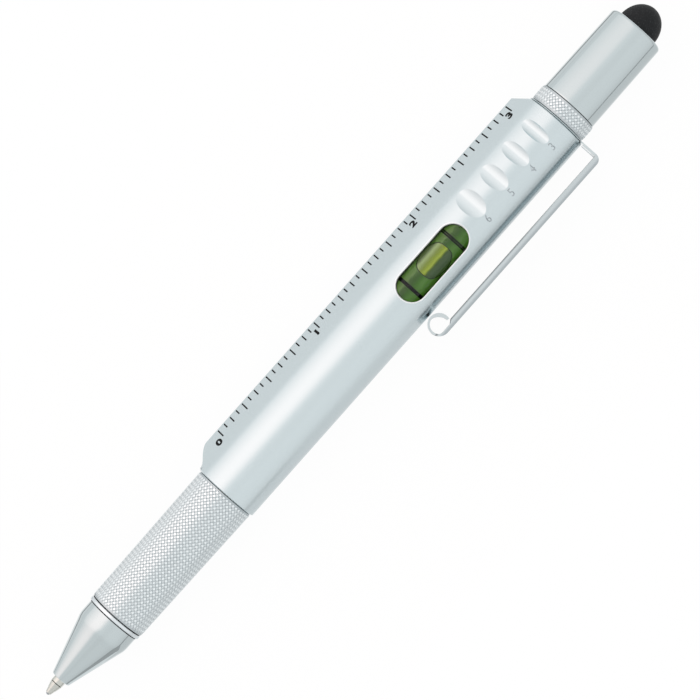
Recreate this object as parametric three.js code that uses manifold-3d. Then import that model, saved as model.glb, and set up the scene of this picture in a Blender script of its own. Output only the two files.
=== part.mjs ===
// Multi tool pen: twist ballpoint, ruler, level, screw gauge, driver bit and stylus
// Millimetres, +X from the writing tip to the stylus, +Y towards the ruler fin, +Z up
import * as THREE from 'three';
import { mergeVertices } from 'three/addons/utils/BufferGeometryUtils.js';
import Module from 'manifold-3d';

const wasm = await Module();
wasm.setup();

// Clearances that every piece shares
const joint_gap = 0.1;
const seat_gap = 0.15;
const turning_gap = 0.15;
const overrun = 1;

// Lengths along the pen, in order from the tip
const tip_reach = 3.58;
const nose_length = 14.84;
const grip_length = 28.68;
const ring_thickness = 0.4;
const collar_length = 2.87;
const cap_length = 18.07;
const dome_height = 4.62;

// Radii, each a small step from the barrel's
const barrel_radius = 6.15;
const grip_step = 0.32;
const grip_taper = 0.25;
const nose_step = 0.4;
const flange_step = 0.09;
const ring_step = 0.2;
const collar_step = 0.35;
const cap_step = 0.59;
const cap_taper = 0.13;

// Walls
const barrel_wall = 0.95;
const level_bay_wall = 1.35;
const thread_wall = 1.75;
const core_wall = 1.35;
const housing_wall = 1.2;
const rotor_wall = 0.95;
const cap_wall = 0.55;

// Refill and ball
const refill_radius = 1.15;
const refill_wall = 0.25;
const ball_radius = 0.4;
const ball_hidden = 0.45;
const ball_gap = 0.05;
const tip_rim = 0.08;
const tip_cone_length = 2.05;
const tip_neck_length = 3.6;
const tip_neck_wall = 0.5;
const ink_length = 47.5;
const refill_engagement = 11;

// Nose cone
const nose_face_radius = 1.82;
const knee_back = 4.62;
const knee_radius_drop = 0.28;
const knee_length = 1.2;
const nose_flange_length = 0.72;
const nose_chamfer = 0.3;
const spigot_length = 5.9;
const nose_tip_bore_length = 3;
const nose_wall = 0.9;

// Twist mechanism
const feed_travel = 6;
const twist_angle = Math.PI;
const bush_length = 5.4;
const bush_inset = 0.3;
const bush_wall = 0.55;
const core_spacing = 3.28;
const rotor_flange_length = 1.1;
const rotor_web_length = 1.6;
const rotor_spigot_length = 5;
const refill_passage = 0.45;
const carrier_tail = 5;
const lug_radius = 0.75;
const lug_offset = 3;
const lug_reach = 0.7;
const slot_gap = 0.1;
const rotor_margin = 1.5;
const housing_end_wall = 2;
const vent_radius = 1.5;

// Ruler fin
const fin_tip_radius = 0.1;
const fin_start = 4.2;
const fin_start_lift = 0.1;
const fin_end_length = 1.75;
const fin_end_share = 0.35;
const end_chamfer = 0.2;
const arc_sides = 29;
const arc_turn = 1.5 * Math.PI;

// The pen lies on a facet of its barrel, so the fin dips below the clip's level
const rest_sides = 25.5;
const fin_roll = rest_sides * arc_turn / arc_sides - 1.25 * Math.PI;

// Level: window, vial and its cradle
const window_offset = 19.7;
const window_length = 16.55;
const window_width = 5.41;
const window_side = -1.46;
const vial_shift = -0.32;
const vial_radius = 3;
const vial_wall = 0.5;
const vial_length = 22;
const vial_top_gap = 0.25;
const plug_length = 2;
const fluid_gap = 0.1;
const bubble_length = 6.2;
const bubble_width = 4.4;
const bubble_shift = 0.45;
const mark_radius_step = 0.15;
const mark_length = 0.5;
const mark_spacing = 11.2;
const mark_shift = -0.25;
const mark_gap = 0.05;
const pocket_gap = 0.3;
const cradle_front_wall = 2;
const cradle_rear_length = 5.05;

// Screw gauge: sizes, and each groove's distance from the barrel's end
const gauge_sizes = [6, 5, 4, 3];
const gauge_places = [20.74, 14.55, 9.02, 3.9];
const gauge_depths = [0.78, 0.72, 0.72, 0.74];
const gauge_lean = 15 * Math.PI / 180;

// Bit holder, driver bit, magnet and cap seal
const holder_inset = 1.8;
const holder_floor = 1.97;
const holder_flange_length = 1;
const snout_length = 4.5;
const snout_step = 0.35;
const seal_groove_depth = 0.4;
const seal_groove_width = 0.9;
const seal_back = 2;
const seal_tube_radius = 0.32;
const seal_seat_gap = 0.05;
const bit_flats = 4;
const bit_sides = 6;
const bit_gap = 0.1;
const bit_length = 28;
const bit_stand = 8;
const bit_tip_length = 5;
const bit_tip_radius = 0.75;
const bit_neck_radius = 1.5;
const bit_neck_length = 2.4;
const bit_flute_radius = 0.8;
const bit_blade_thickness = 0.7;
const magnet_radius = 1.85;
const magnet_length = 1.9;

// Stylus cap
const cap_rim_radius = 0.7;
const cap_mouth_gap = 0.2;
const dome_margin = 0.83;
const dome_wall = 0.8;
const stem_radius = 1.45;
const stem_head_gap = 0.4;
const stem_head_length = 1.1;

// Clip
const clip_reach = 10.4;
const clip_length = 40.54;
const clip_setback = 0.2;
const clip_width = 4.4;
const clip_depth = 1.2;
const clip_leg_depth = 0.9;
const clip_strip = 0.4;
const clip_corner_radius = 1.3;
const clip_loop_gap = 0.12;
const clip_flange_stop = 0.9;
const clip_flange_slope = 1.3;
const clip_root_gap = 0.3;
const clip_hinge_gap = 0.12;
const clip_loop_turn = 288 * Math.PI / 180;

// Facets round each kind of turned piece
const outer_sides = 40;
const inner_sides = 24;
const fine_sides = 16;

// Radii that follow
const grip_back_radius = barrel_radius - grip_step;
const grip_front_radius = grip_back_radius - grip_taper;
const nose_radius = grip_front_radius - nose_step;
const nose_flange_radius = grip_front_radius - flange_step;
const ring_radius = barrel_radius - ring_step;
const collar_radius = barrel_radius - collar_step;
const cap_radius = barrel_radius - cap_step;
const cap_top_radius = cap_radius - cap_taper;
const front_bore = barrel_radius - barrel_wall;
const level_bore = barrel_radius - level_bay_wall;
const rear_bore = barrel_radius - thread_wall;
const bush_radius = front_bore - seat_gap;
const bush_bore = bush_radius - bush_wall;
const core_radius = bush_bore - turning_gap;
const core_bore = core_radius - core_wall;
const grip_bore = core_radius + seat_gap;
const spigot_radius = core_radius;
const housing_radius = front_bore - seat_gap;
const housing_bore = housing_radius - housing_wall;
const rotor_radius = housing_bore - turning_gap;
const rotor_bore = rotor_radius - rotor_wall;
const carrier_radius = rotor_bore - turning_gap;
const passage_radius = refill_radius + refill_passage;
const refill_seat = refill_radius + joint_gap;
const rotor_flange_radius = front_bore - turning_gap - seat_gap;
const vial_height = level_bore - vial_top_gap - vial_radius - mark_radius_step;
const dome_radius = cap_top_radius - cap_rim_radius - dome_margin;
const clip_loop_radius = (clip_reach - barrel_radius - clip_loop_gap) / 2;

// Places along the pen that follow
const nose_end = tip_reach + nose_length;
const grip_start = nose_end + joint_gap;
const grip_end = grip_start + grip_length;
const barrel_start = grip_end + joint_gap;
const bush_start = barrel_start + bush_inset;
const bush_end = bush_start + bush_length;
const rotor_flange_start = bush_end + turning_gap;
const rotor_flange_end = rotor_flange_start + rotor_flange_length;
const housing_start = rotor_flange_end + turning_gap;
const rotor_bore_start = rotor_flange_end + rotor_web_length;
const carrier_start = rotor_bore_start + turning_gap;
const refill_end = carrier_start + refill_engagement;
const carrier_end = refill_end + carrier_tail;
const lug_place = refill_end + lug_offset;
const rotor_end = carrier_end + feed_travel + rotor_margin;
const housing_end_face = rotor_end + turning_gap;
const housing_end = housing_end_face + housing_end_wall;
const level_bay_start = housing_end + joint_gap;
const window_centre = level_bay_start + window_offset;
const rear_bay_start = window_centre + vial_length / 2 + cradle_rear_length;
const holder_start = rear_bay_start + holder_inset;
const magnet_start = holder_start + holder_floor + joint_gap;
const magnet_end = magnet_start + magnet_length;
const bit_start = magnet_end + 2 * joint_gap;
const bit_end = bit_start + bit_length;
const snout_end = bit_end - bit_stand;
const flange_end = snout_end - snout_length;
const flange_start = flange_end - holder_flange_length;
const barrel_end = flange_start - collar_length - ring_thickness - 3 * joint_gap;
const ring_start = barrel_end + joint_gap;
const ring_end = ring_start + ring_thickness;
const collar_start = ring_end + joint_gap;
const collar_end = collar_start + collar_length;
const cap_start = collar_end + joint_gap;
const cap_end = cap_start + cap_length;
const dome_start = cap_end + joint_gap;
const pen_end = dome_start + dome_height;
const rest_drop = barrel_radius * Math.cos(arc_turn / arc_sides / 2);

// Finishes
const finish = (color, roughness, metalness) =>
  new THREE.MeshStandardMaterial({ color, roughness, metalness });
const finishes = {
  satin_silver: finish(0xc5cdd0, 0.38, 0.7),
  bright_chrome: finish(0xd3dadc, 0.16, 1),
  knurled_metal: finish(0xbfc7c9, 0.3, 1),
  brass: finish(0xb8944a, 0.35, 1),
  steel: finish(0x9aa0a4, 0.35, 1),
  refill_metal: finish(0xc4c9c4, 0.3, 0.9),
  ink: finish(0x14161c, 0.5, 0),
  white_plastic: finish(0xe4e6e4, 0.5, 0),
  black_plastic: finish(0x1c1f22, 0.5, 0),
  clear_acrylic: new THREE.MeshStandardMaterial({
    color: 0xdfe8d4, roughness: 0.08, metalness: 0, transparent: true, opacity: 0.4,
  }),
  green_fluid: finish(0x3d5627, 0.1, 0),
  rubber: finish(0x24282b, 0.75, 0),
  magnet: finish(0x8e9498, 0.3, 1),
};

// Turns the drawing plane and depth (x, y, z) into the pen's (y, z, x)
const across_pen = new THREE.Matrix4().makeBasis(
  new THREE.Vector3(0, 1, 0),
  new THREE.Vector3(0, 0, 1),
  new THREE.Vector3(1, 0, 0),
);

// Joins shared vertices and drops the triangles that close up at a pole
function welded(geometry) {
  geometry.deleteAttribute('normal');
  geometry.deleteAttribute('uv');
  const merged = mergeVertices(geometry);
  const corners = merged.index.array;
  const kept = [];
  for (let i = 0; i < corners.length; i += 3) {
    const [a, b, c] = corners.slice(i, i + 3);
    if (a !== b && b !== c && c !== a) {
      kept.push(a, b, c);
    }
  }
  merged.setIndex(kept);
  return merged;
}

function solid(geometry) {
  const merged = welded(geometry);
  return new wasm.Manifold(new wasm.Mesh({
    numProp: 3,
    vertProperties: new Float32Array(merged.attributes.position.array),
    triVerts: new Uint32Array(merged.index.array),
  }));
}

function geometryOf(body) {
  const mesh = body.getMesh();
  const geometry = new THREE.BufferGeometry();
  geometry.setAttribute('position', new THREE.BufferAttribute(mesh.vertProperties, 3));
  geometry.setIndex(new THREE.BufferAttribute(mesh.triVerts, 1));
  return geometry;
}

// A turned body round the pen's axis, from [place along the pen, radius] points
function turned(profile, sides = inner_sides) {
  const points = profile.map(([x, r]) => new THREE.Vector2(r, x));
  return new THREE.LatheGeometry(points, sides).rotateZ(-Math.PI / 2);
}

function tube(start, end, outer, inner, sides = inner_sides) {
  return turned([[start, inner], [start, outer], [end, outer], [end, inner], [start, inner]], sides);
}

function rod(start, end, radius, sides = inner_sides) {
  return turned([[start, 0], [start, radius], [end, radius], [end, 0]], sides);
}

function shares(steps) {
  return Array.from({ length: steps + 1 }, (_, i) => i / steps);
}

function arc(cx, cy, radius, from, to, steps) {
  return shares(steps).map((share) => {
    const angle = from + (to - from) * share;
    return new THREE.Vector2(cx + radius * Math.cos(angle), cy + radius * Math.sin(angle));
  });
}

// A cross-section in the pen's Y and Z, drawn out along it
function sectioned(points, start, end, holes = []) {
  const shape = new THREE.Shape(points);
  shape.holes = holes.map((hole) => new THREE.Path(hole));
  const geometry = new THREE.ExtrudeGeometry(shape, { depth: end - start, bevelEnabled: false });
  return geometry.applyMatrix4(across_pen).translate(start, 0, 0);
}

// An outline in the pen's X and Y, drawn out along Z
function upright(points, low, high) {
  const geometry = new THREE.ExtrudeGeometry(new THREE.Shape(points), {
    depth: high - low, bevelEnabled: false,
  });
  return geometry.translate(0, 0, low);
}

const pen = new THREE.Group();
const fin_side = (finReach() - fin_tip_radius) * Math.cos(fin_roll) + fin_tip_radius;
pen.position.set(
  -pen_end / 2,
  (clip_reach - fin_side) / 2,
  rest_drop,
);

function add(name, geometry, material) {
  const mesh = new THREE.Mesh(welded(geometry), material);
  mesh.name = name;
  pen.add(mesh);
}

// The fin's faces are tangent to the barrel at 45 degrees and meet at a small round
function finReach() {
  return barrel_radius * Math.SQRT2 - fin_tip_radius * (Math.SQRT2 - 1);
}

function barrelSection() {
  const quarter = Math.PI / 4;
  const tip_centre = finReach() - fin_tip_radius;
  const outline = [
    ...arc(0, 0, barrel_radius, quarter, 2 * Math.PI - quarter, arc_sides),
    ...arc(tip_centre, 0, fin_tip_radius, -quarter, quarter, 2),
  ];
  return outline.map((point) => point.rotateAround(new THREE.Vector2(), -fin_roll));
}

// Turned ends: the fin runs out in an ogee at the grip and a hollow at the collar
function barrelTrim() {
  const clear = finReach() + overrun;
  const low = barrel_radius + fin_start_lift;
  const rise = finReach() - low;
  const ogee_start = barrel_start + end_chamfer;
  const ogee = shares(8).map((share) => [
    ogee_start + fin_start * share,
    low + rise * (1 - Math.cos(Math.PI * share)) / 2,
  ]);
  const hollow_start = barrel_end - end_chamfer - fin_end_length;
  const hollow = shares(5).map((share) => [
    hollow_start + fin_end_length * share,
    low + rise * (1 - share) * (1 - fin_end_share * share),
  ]);
  return turned([
    [barrel_start, 0],
    [barrel_start, barrel_radius - end_chamfer],
    ...ogee,
    [ogee_start + fin_start, clear],
    [hollow_start, clear],
    ...hollow,
    [barrel_end, barrel_radius - end_chamfer],
    [barrel_end, 0],
  ], outer_sides);
}

function barrelBore() {
  return turned([
    [barrel_start - overrun, 0],
    [barrel_start - overrun, front_bore],
    [level_bay_start, front_bore],
    [level_bay_start, level_bore],
    [rear_bay_start, level_bore],
    [rear_bay_start, rear_bore],
    [barrel_end + overrun, rear_bore],
    [barrel_end + overrun, 0],
  ], outer_sides);
}

// Milled square to the fin, so it leans as the barrel does
function windowCut() {
  const half = window_width / 2;
  const reach = window_length / 2 - half;
  const quarter = Math.PI / 2;
  const points = [
    ...arc(window_centre + reach, window_side, half, -quarter, quarter, 12),
    ...arc(window_centre - reach, window_side, half, quarter, 3 * quarter, 12),
  ];
  return upright(points, 0, barrel_radius + overrun).rotateX(-fin_roll);
}

// One gauge groove: a cylinder lying across the pen and leaning with the scale
function gaugeCut(index) {
  const radius = gauge_sizes[index] / 2;
  const height = barrel_radius + radius - gauge_depths[index];
  const cut = new THREE.CylinderGeometry(radius, radius, 2 * barrel_radius + overrun, inner_sides);
  return cut
    .translate(barrel_end - gauge_places[index], 0, height)
    .rotateX(-gauge_lean);
}

function barrelShell() {
  let body = solid(sectioned(barrelSection(), barrel_start - overrun, barrel_end + overrun));
  body = body.intersect(solid(barrelTrim()));
  body = body.subtract(solid(barrelBore()));
  body = body.subtract(solid(windowCut()));
  for (const index of gauge_sizes.keys()) {
    body = body.subtract(solid(gaugeCut(index)));
  }
  return geometryOf(body);
}

function noseCone() {
  const knee = nose_end - knee_back;
  const bore_turn = tip_reach + nose_tip_bore_length;
  const tip_bore = refill_radius + turning_gap;
  return turned([
    [tip_reach, tip_bore],
    [tip_reach, nose_face_radius],
    [knee, nose_radius - knee_radius_drop],
    [knee + knee_length / 2, nose_radius - knee_radius_drop / 4],
    [knee + knee_length, nose_radius],
    [nose_end - nose_flange_length, nose_radius],
    [nose_end - nose_flange_length + nose_chamfer, nose_flange_radius],
    [nose_end, nose_flange_radius],
    [nose_end, spigot_radius],
    [nose_end + spigot_length, spigot_radius],
    [nose_end + spigot_length, spigot_radius - nose_wall],
    [knee, spigot_radius - nose_wall],
    [bore_turn, tip_bore],
    [tip_reach, tip_bore],
  ], outer_sides);
}

function gripSleeve() {
  return turned([
    [grip_start, grip_bore],
    [grip_start, grip_front_radius - end_chamfer],
    [grip_start + end_chamfer, grip_front_radius],
    [grip_end - end_chamfer, grip_back_radius],
    [grip_end, grip_back_radius - end_chamfer],
    [grip_end, grip_bore],
    [grip_start, grip_bore],
  ], outer_sides);
}

// The slot that the carrier's lug rides in, wound half a turn round the rotor
function helicalSlot() {
  const steps = 20;
  const lead = feed_travel / twist_angle;
  const half = (lug_radius + slot_gap) / Math.cos(Math.atan(lead / rotor_bore));
  const low = rotor_bore - overrun;
  const high = rotor_radius + overrun;
  const spread = (lug_radius + slot_gap) / rotor_bore;
  const from = -spread;
  const to = twist_angle + spread;
  const corners = [];
  for (let i = 0; i <= steps; i += 1) {
    const turn = from + (to - from) * i / steps;
    const angle = Math.PI / 2 - turn;
    const middle = lug_place + lead * turn;
    for (const [along, radius] of [[-half, low], [half, low], [half, high], [-half, high]]) {
      corners.push(middle + along, radius * Math.cos(angle), radius * Math.sin(angle));
    }
  }
  const faces = [];
  for (let i = 0; i < steps; i += 1) {
    for (let side = 0; side < 4; side += 1) {
      const a = 4 * i + side;
      const b = 4 * i + (side + 1) % 4;
      faces.push(a, b + 4, b, a, a + 4, b + 4);
    }
  }
  const last = 4 * steps;
  faces.push(0, 1, 2, 0, 2, 3, last, last + 2, last + 1, last, last + 3, last + 2);
  const geometry = new THREE.BufferGeometry();
  geometry.setAttribute('position', new THREE.Float32BufferAttribute(corners, 3));
  geometry.setIndex(faces);
  return geometry;
}

function camRotor() {
  const body = solid(turned([
    [rotor_flange_start - rotor_spigot_length, passage_radius],
    [rotor_flange_start - rotor_spigot_length, core_bore - seat_gap],
    [rotor_flange_start, core_bore - seat_gap],
    [rotor_flange_start, rotor_flange_radius],
    [rotor_flange_end, rotor_flange_radius],
    [rotor_flange_end, rotor_radius],
    [rotor_end, rotor_radius],
    [rotor_end, rotor_bore],
    [rotor_bore_start, rotor_bore],
    [rotor_bore_start, passage_radius],
    [rotor_flange_start - rotor_spigot_length, passage_radius],
  ]));
  return geometryOf(body.subtract(solid(helicalSlot())));
}

// A guide slot lies straight along the housing, so the lug slides and can't turn
function mechanismHousing() {
  const half = lug_radius + slot_gap;
  const body = solid(turned([
    [housing_start, housing_bore],
    [housing_start, housing_radius],
    [housing_end, housing_radius],
    [housing_end, vent_radius],
    [housing_end_face, vent_radius],
    [housing_end_face, housing_bore],
    [housing_start, housing_bore],
  ]));
  const slot = new THREE.BoxGeometry(feed_travel + 2 * half, 2 * half, housing_radius)
    .translate(lug_place + feed_travel / 2, 0, housing_radius);
  return geometryOf(body.subtract(solid(slot)));
}

function refillCarrier() {
  const body = solid(turned([
    [carrier_start, refill_seat],
    [carrier_start, carrier_radius],
    [carrier_end, carrier_radius],
    [carrier_end, 0],
    [refill_end + joint_gap, 0],
    [refill_end + joint_gap, refill_seat],
    [carrier_start, refill_seat],
  ], fine_sides));
  const lug_top = housing_bore + lug_reach;
  const lug_bottom = carrier_radius / 2;
  const lug = new THREE.CylinderGeometry(lug_radius, lug_radius, lug_top - lug_bottom, fine_sides)
    .rotateX(Math.PI / 2)
    .translate(lug_place, 0, (lug_top + lug_bottom) / 2);
  return geometryOf(body.add(solid(lug)));
}

function writingBall() {
  const profile = shares(8).map((share) => [
    ball_radius * (1 - Math.cos(Math.PI * share)),
    share % 1 === 0 ? 0 : ball_radius * Math.sin(Math.PI * share),
  ]);
  return turned(profile, fine_sides);
}

function refillTip() {
  const face = 2 * ball_radius - ball_hidden;
  const socket = ball_radius + ball_gap;
  const cone_end = face + tip_cone_length;
  const neck_end = cone_end + tip_neck_length;
  const neck = refill_radius - refill_wall - joint_gap;
  const channel = neck - tip_neck_wall;
  const socket_end = 2 * ball_radius + ball_gap;
  return turned([
    [face, socket],
    [face, socket + tip_rim],
    [cone_end, refill_radius],
    [cone_end + joint_gap, neck],
    [neck_end, neck],
    [neck_end, channel],
    [socket_end, channel],
    [socket_end, socket],
    [face, socket],
  ], fine_sides);
}

const refill_tube_start = 2 * ball_radius - ball_hidden + tip_cone_length + 2 * joint_gap;
const ink_start = refill_tube_start + tip_neck_length;

function vialFluid() {
  const start = window_centre - vial_length / 2 + joint_gap + plug_length + joint_gap;
  const end = window_centre + vial_length / 2 - joint_gap - plug_length - joint_gap;
  const radius = vial_radius - vial_wall - fluid_gap;
  const body = solid(rod(start, end, radius).translate(0, vial_shift, vial_height));
  const bubble = new THREE.SphereGeometry(1, 24, 12)
    .scale(bubble_length / 2, bubble_width / 2, radius)
    .translate(window_centre + bubble_shift, vial_shift, vial_height + radius);
  return geometryOf(body.subtract(solid(bubble)));
}

function vialCradle() {
  const start = window_centre - vial_length / 2 - joint_gap - cradle_front_wall;
  const end = rear_bay_start - joint_gap;
  const pocket_radius = vial_radius + pocket_gap;
  const pocket_start = window_centre - vial_length / 2 - joint_gap;
  const pocket_end = window_centre + vial_length / 2 + joint_gap;
  const body = solid(rod(start, end, level_bore - seat_gap, outer_sides));
  const pocket = solid(
    rod(pocket_start, pocket_end, pocket_radius).translate(0, vial_shift, vial_height),
  );
  const mouth = solid(
    new THREE.BoxGeometry(pocket_end - pocket_start, 2 * pocket_radius, barrel_radius)
      .translate(window_centre, vial_shift, vial_height + barrel_radius / 2),
  );
  return geometryOf(body.subtract(pocket.add(mouth)));
}

function vialPlug(end) {
  const outer_face = window_centre + end * (vial_length / 2 - joint_gap);
  const inner_face = outer_face - end * plug_length;
  return rod(
    Math.min(outer_face, inner_face),
    Math.max(outer_face, inner_face),
    vial_radius - vial_wall - fluid_gap,
  ).translate(0, vial_shift, vial_height);
}

function vialMark(end) {
  const middle = window_centre + mark_shift + end * mark_spacing / 2;
  return tube(
    middle - mark_length / 2,
    middle + mark_length / 2,
    vial_radius + mark_radius_step,
    vial_radius + mark_gap,
  ).translate(0, vial_shift, vial_height);
}

const stud_radius = rear_bore - seat_gap;
const snout_radius = stud_radius - snout_step;
const seal_groove_radius = snout_radius - seal_groove_depth;
const seal_centre_radius = seal_groove_radius + seal_seat_gap + seal_tube_radius;
const seal_place = snout_end - seal_back;
const cap_bore = cap_top_radius - cap_wall;
const liner_bore = seal_centre_radius + seal_tube_radius + joint_gap;

function hexagonCorner(flats) {
  return flats / 2 / Math.cos(Math.PI / bit_sides);
}

function hexagon(flats) {
  return arc(0, 0, hexagonCorner(flats), 0, 2 * Math.PI, bit_sides).slice(0, bit_sides);
}

function bitHolder() {
  const body = solid(turned([
    [holder_start, 0],
    [holder_start, stud_radius],
    [flange_start, stud_radius],
    [flange_start, cap_bore - joint_gap - turning_gap],
    [flange_end, cap_bore - joint_gap - turning_gap],
    [flange_end, snout_radius],
    [seal_place - seal_groove_width / 2, snout_radius],
    [seal_place - seal_groove_width / 2, seal_groove_radius],
    [seal_place + seal_groove_width / 2, seal_groove_radius],
    [seal_place + seal_groove_width / 2, snout_radius],
    [snout_end, snout_radius],
    [snout_end, 0],
  ]));
  const socket = sectioned(hexagon(bit_flats + 2 * bit_gap), bit_start - joint_gap, snout_end + overrun);
  const magnet_pocket = rod(
    magnet_start - joint_gap,
    bit_start,
    magnet_radius + joint_gap,
  );
  return geometryOf(body.subtract(solid(socket).add(solid(magnet_pocket))));
}

// A reversible bit: crossed point at one end, flat blade at the other
function driverBit() {
  const corner = hexagonCorner(bit_flats);
  const neck_start = bit_start + bit_tip_length;
  const neck_end = bit_end - bit_tip_length;
  const envelope = solid(turned([
    [bit_start, 0],
    [bit_start, bit_neck_radius / 2],
    [bit_start + bit_tip_length / 2, bit_neck_radius],
    [neck_start, bit_neck_radius],
    [neck_start + bit_neck_length / 2, corner],
    [neck_end - bit_neck_length / 2, corner],
    [neck_end, bit_neck_radius],
    [bit_end - bit_neck_radius, bit_neck_radius],
    [bit_end, bit_tip_radius],
    [bit_end, 0],
  ], fine_sides));
  let body = solid(sectioned(hexagon(bit_flats), bit_start, bit_end)).intersect(envelope);
  for (const side of [-1, 1]) {
    const flat = new THREE.BoxGeometry(bit_tip_length, 2 * corner, corner)
      .rotateY(side * bit_blade_thickness / bit_tip_length)
      .translate(bit_start, 0, side * (corner / 2 + bit_blade_thickness));
    body = body.subtract(solid(flat));
  }
  for (const quarter of [0, 1, 2, 3]) {
    const angle = Math.PI / 4 + quarter * Math.PI / 2;
    const reach = bit_tip_radius + bit_flute_radius / 2;
    const flute = new THREE.CylinderGeometry(
      bit_flute_radius, bit_flute_radius, bit_tip_length, 12,
    )
      .rotateZ(Math.PI / 2)
      .rotateY(bit_tip_radius / bit_tip_length)
      .translate(bit_end, 0, reach)
      .rotateX(angle);
    body = body.subtract(solid(flute));
  }
  return geometryOf(body);
}

function sealRing() {
  const section = arc(seal_place, seal_centre_radius, seal_tube_radius, 0, -2 * Math.PI, 8)
    .map((point) => [point.x, point.y]);
  section[section.length - 1] = section[0];
  return turned(section);
}

function collar() {
  return turned([
    [collar_start, rear_bore],
    [collar_start, collar_radius - end_chamfer],
    [collar_start + end_chamfer, collar_radius],
    [collar_end - end_chamfer, collar_radius],
    [collar_end, collar_radius - end_chamfer],
    [collar_end, rear_bore],
    [collar_start, rear_bore],
  ], outer_sides);
}

const cap_floor = bit_end + 4 * joint_gap;
const stem_hole = stem_radius + seat_gap;

function capShell() {
  const rim = shares(4).map((share) => {
    const angle = share * Math.PI / 2;
    return [
      cap_end - cap_rim_radius * (1 - Math.sin(angle)),
      cap_top_radius - cap_rim_radius * (1 - Math.cos(angle)),
    ];
  });
  return turned([
    [cap_start, cap_bore],
    [cap_start, cap_radius - end_chamfer / 2],
    [cap_start + end_chamfer / 2, cap_radius],
    ...rim,
    [cap_end, stem_hole],
    [cap_floor, stem_hole],
    [cap_floor, cap_bore],
    [cap_start, cap_bore],
  ], outer_sides);
}

function stylusDome() {
  const outside = shares(9).map((share) => {
    const angle = Math.PI / 2 * share;
    return [dome_start + dome_height * Math.sin(angle), share === 1 ? 0 : dome_radius * Math.cos(angle)];
  });
  const hollow_start = dome_start + dome_wall;
  const hollow_height = dome_height - 2 * dome_wall;
  const inside = shares(5).map((share) => {
    const angle = Math.PI / 2 * (1 - share);
    const r = share === 0 ? 0 : (dome_radius - dome_wall) * Math.cos(angle);
    return [hollow_start + hollow_height * Math.sin(angle), r];
  });
  return turned([
    [dome_start, stem_hole],
    ...outside,
    ...inside,
    [hollow_start, stem_hole],
    [dome_start, stem_hole],
  ]);
}

function stylusStem() {
  const head_start = dome_start + dome_wall + joint_gap;
  const head_radius = dome_radius - dome_wall - stem_head_gap;
  return turned([
    [cap_floor + joint_gap, 0],
    [cap_floor + joint_gap, stem_radius],
    [head_start, stem_radius],
    [head_start, head_radius - end_chamfer],
    [head_start + end_chamfer, head_radius],
    [head_start + stem_head_length, head_radius - end_chamfer],
    [head_start + stem_head_length, 0],
  ], fine_sides);
}

const clip_face = ring_end - clip_setback;
const clip_root = barrel_radius + clip_root_gap;

function clipRing() {
  const round = arc(0, 0, ring_radius, 0, 2 * Math.PI, outer_sides).slice(0, outer_sides);
  const bore = arc(0, 0, rear_bore, 0, 2 * Math.PI, inner_sides).slice(0, inner_sides);
  const half = clip_width / 2;
  const tab_end = -(clip_root - clip_hinge_gap);
  const tab_start = -(ring_radius - ring_step - joint_gap);
  const tab = [
    new THREE.Vector2(tab_start, -half),
    new THREE.Vector2(tab_start, half),
    new THREE.Vector2(tab_end, half),
    new THREE.Vector2(tab_end, -half),
  ];
  const washer = solid(sectioned(round, ring_start, ring_end, [bore]));
  return geometryOf(washer.add(solid(sectioned(tab, ring_start, ring_end))));
}

// One folded strip with turned-in edges, rolled to a loop that rides on the barrel
function clipStrip() {
  const half = clip_width / 2;
  const quarter = Math.PI / 2;
  const corner = clip_corner_radius;
  const corner_x = clip_face - corner;
  const corner_y = -(clip_reach - corner);
  const loop_x = clip_face - clip_length;
  const loop_y = -(clip_reach - clip_loop_radius);
  const loop_steps = 20;
  const loop_inner = clip_loop_radius - clip_strip;
  const web = [
    new THREE.Vector2(clip_face, -clip_root),
    new THREE.Vector2(clip_face - clip_strip, -clip_root),
    ...arc(corner_x, corner_y, corner - clip_strip, 0, -quarter, 4),
    ...arc(loop_x, loop_y, loop_inner, -quarter, -quarter - clip_loop_turn, loop_steps),
    ...arc(loop_x, loop_y, clip_loop_radius, -quarter - clip_loop_turn, -quarter, loop_steps),
    ...arc(corner_x, corner_y, corner, -quarter, 0, 4),
  ];
  const stop = loop_x + clip_flange_stop;
  const flange = [
    new THREE.Vector2(clip_face, -clip_root),
    new THREE.Vector2(clip_face - clip_leg_depth, -clip_root),
    new THREE.Vector2(clip_face - clip_leg_depth, -(clip_reach - clip_depth)),
    new THREE.Vector2(stop + clip_flange_slope, -(clip_reach - clip_depth)),
    new THREE.Vector2(stop, -(clip_reach - clip_strip)),
    new THREE.Vector2(stop, -clip_reach),
    ...arc(corner_x, corner_y, corner, -quarter, 0, 4),
  ];
  let body = solid(upright(web, -half, half));
  body = body.add(solid(upright(flange, -half, clip_strip - half)));
  body = body.add(solid(upright(flange, half - clip_strip, half)));
  return geometryOf(body);
}

const vial_start = window_centre - vial_length / 2;
const vial_end = window_centre + vial_length / 2;

// Writing end, which turns on the barrel
add('nose_cone', noseCone(), finishes.bright_chrome);
add('grip_sleeve', gripSleeve(), finishes.knurled_metal);
add('grip_core', tube(
  nose_end + spigot_length + core_spacing,
  bush_end + joint_gap,
  core_radius,
  core_bore,
), finishes.brass);
add('cam_rotor', camRotor(), finishes.brass);

// Refill, which the carrier feeds in and out
add('refill_carrier', refillCarrier(), finishes.white_plastic);
add('refill_tube', tube(
  refill_tube_start, refill_end, refill_radius, refill_radius - refill_wall, fine_sides,
), finishes.refill_metal);
add('refill_ink', rod(
  ink_start + joint_gap,
  ink_start + ink_length,
  refill_radius - refill_wall - joint_gap,
  fine_sides,
), finishes.ink);
add('refill_tip', refillTip(), finishes.refill_metal);
add('writing_ball', writingBall(), finishes.steel);

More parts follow.
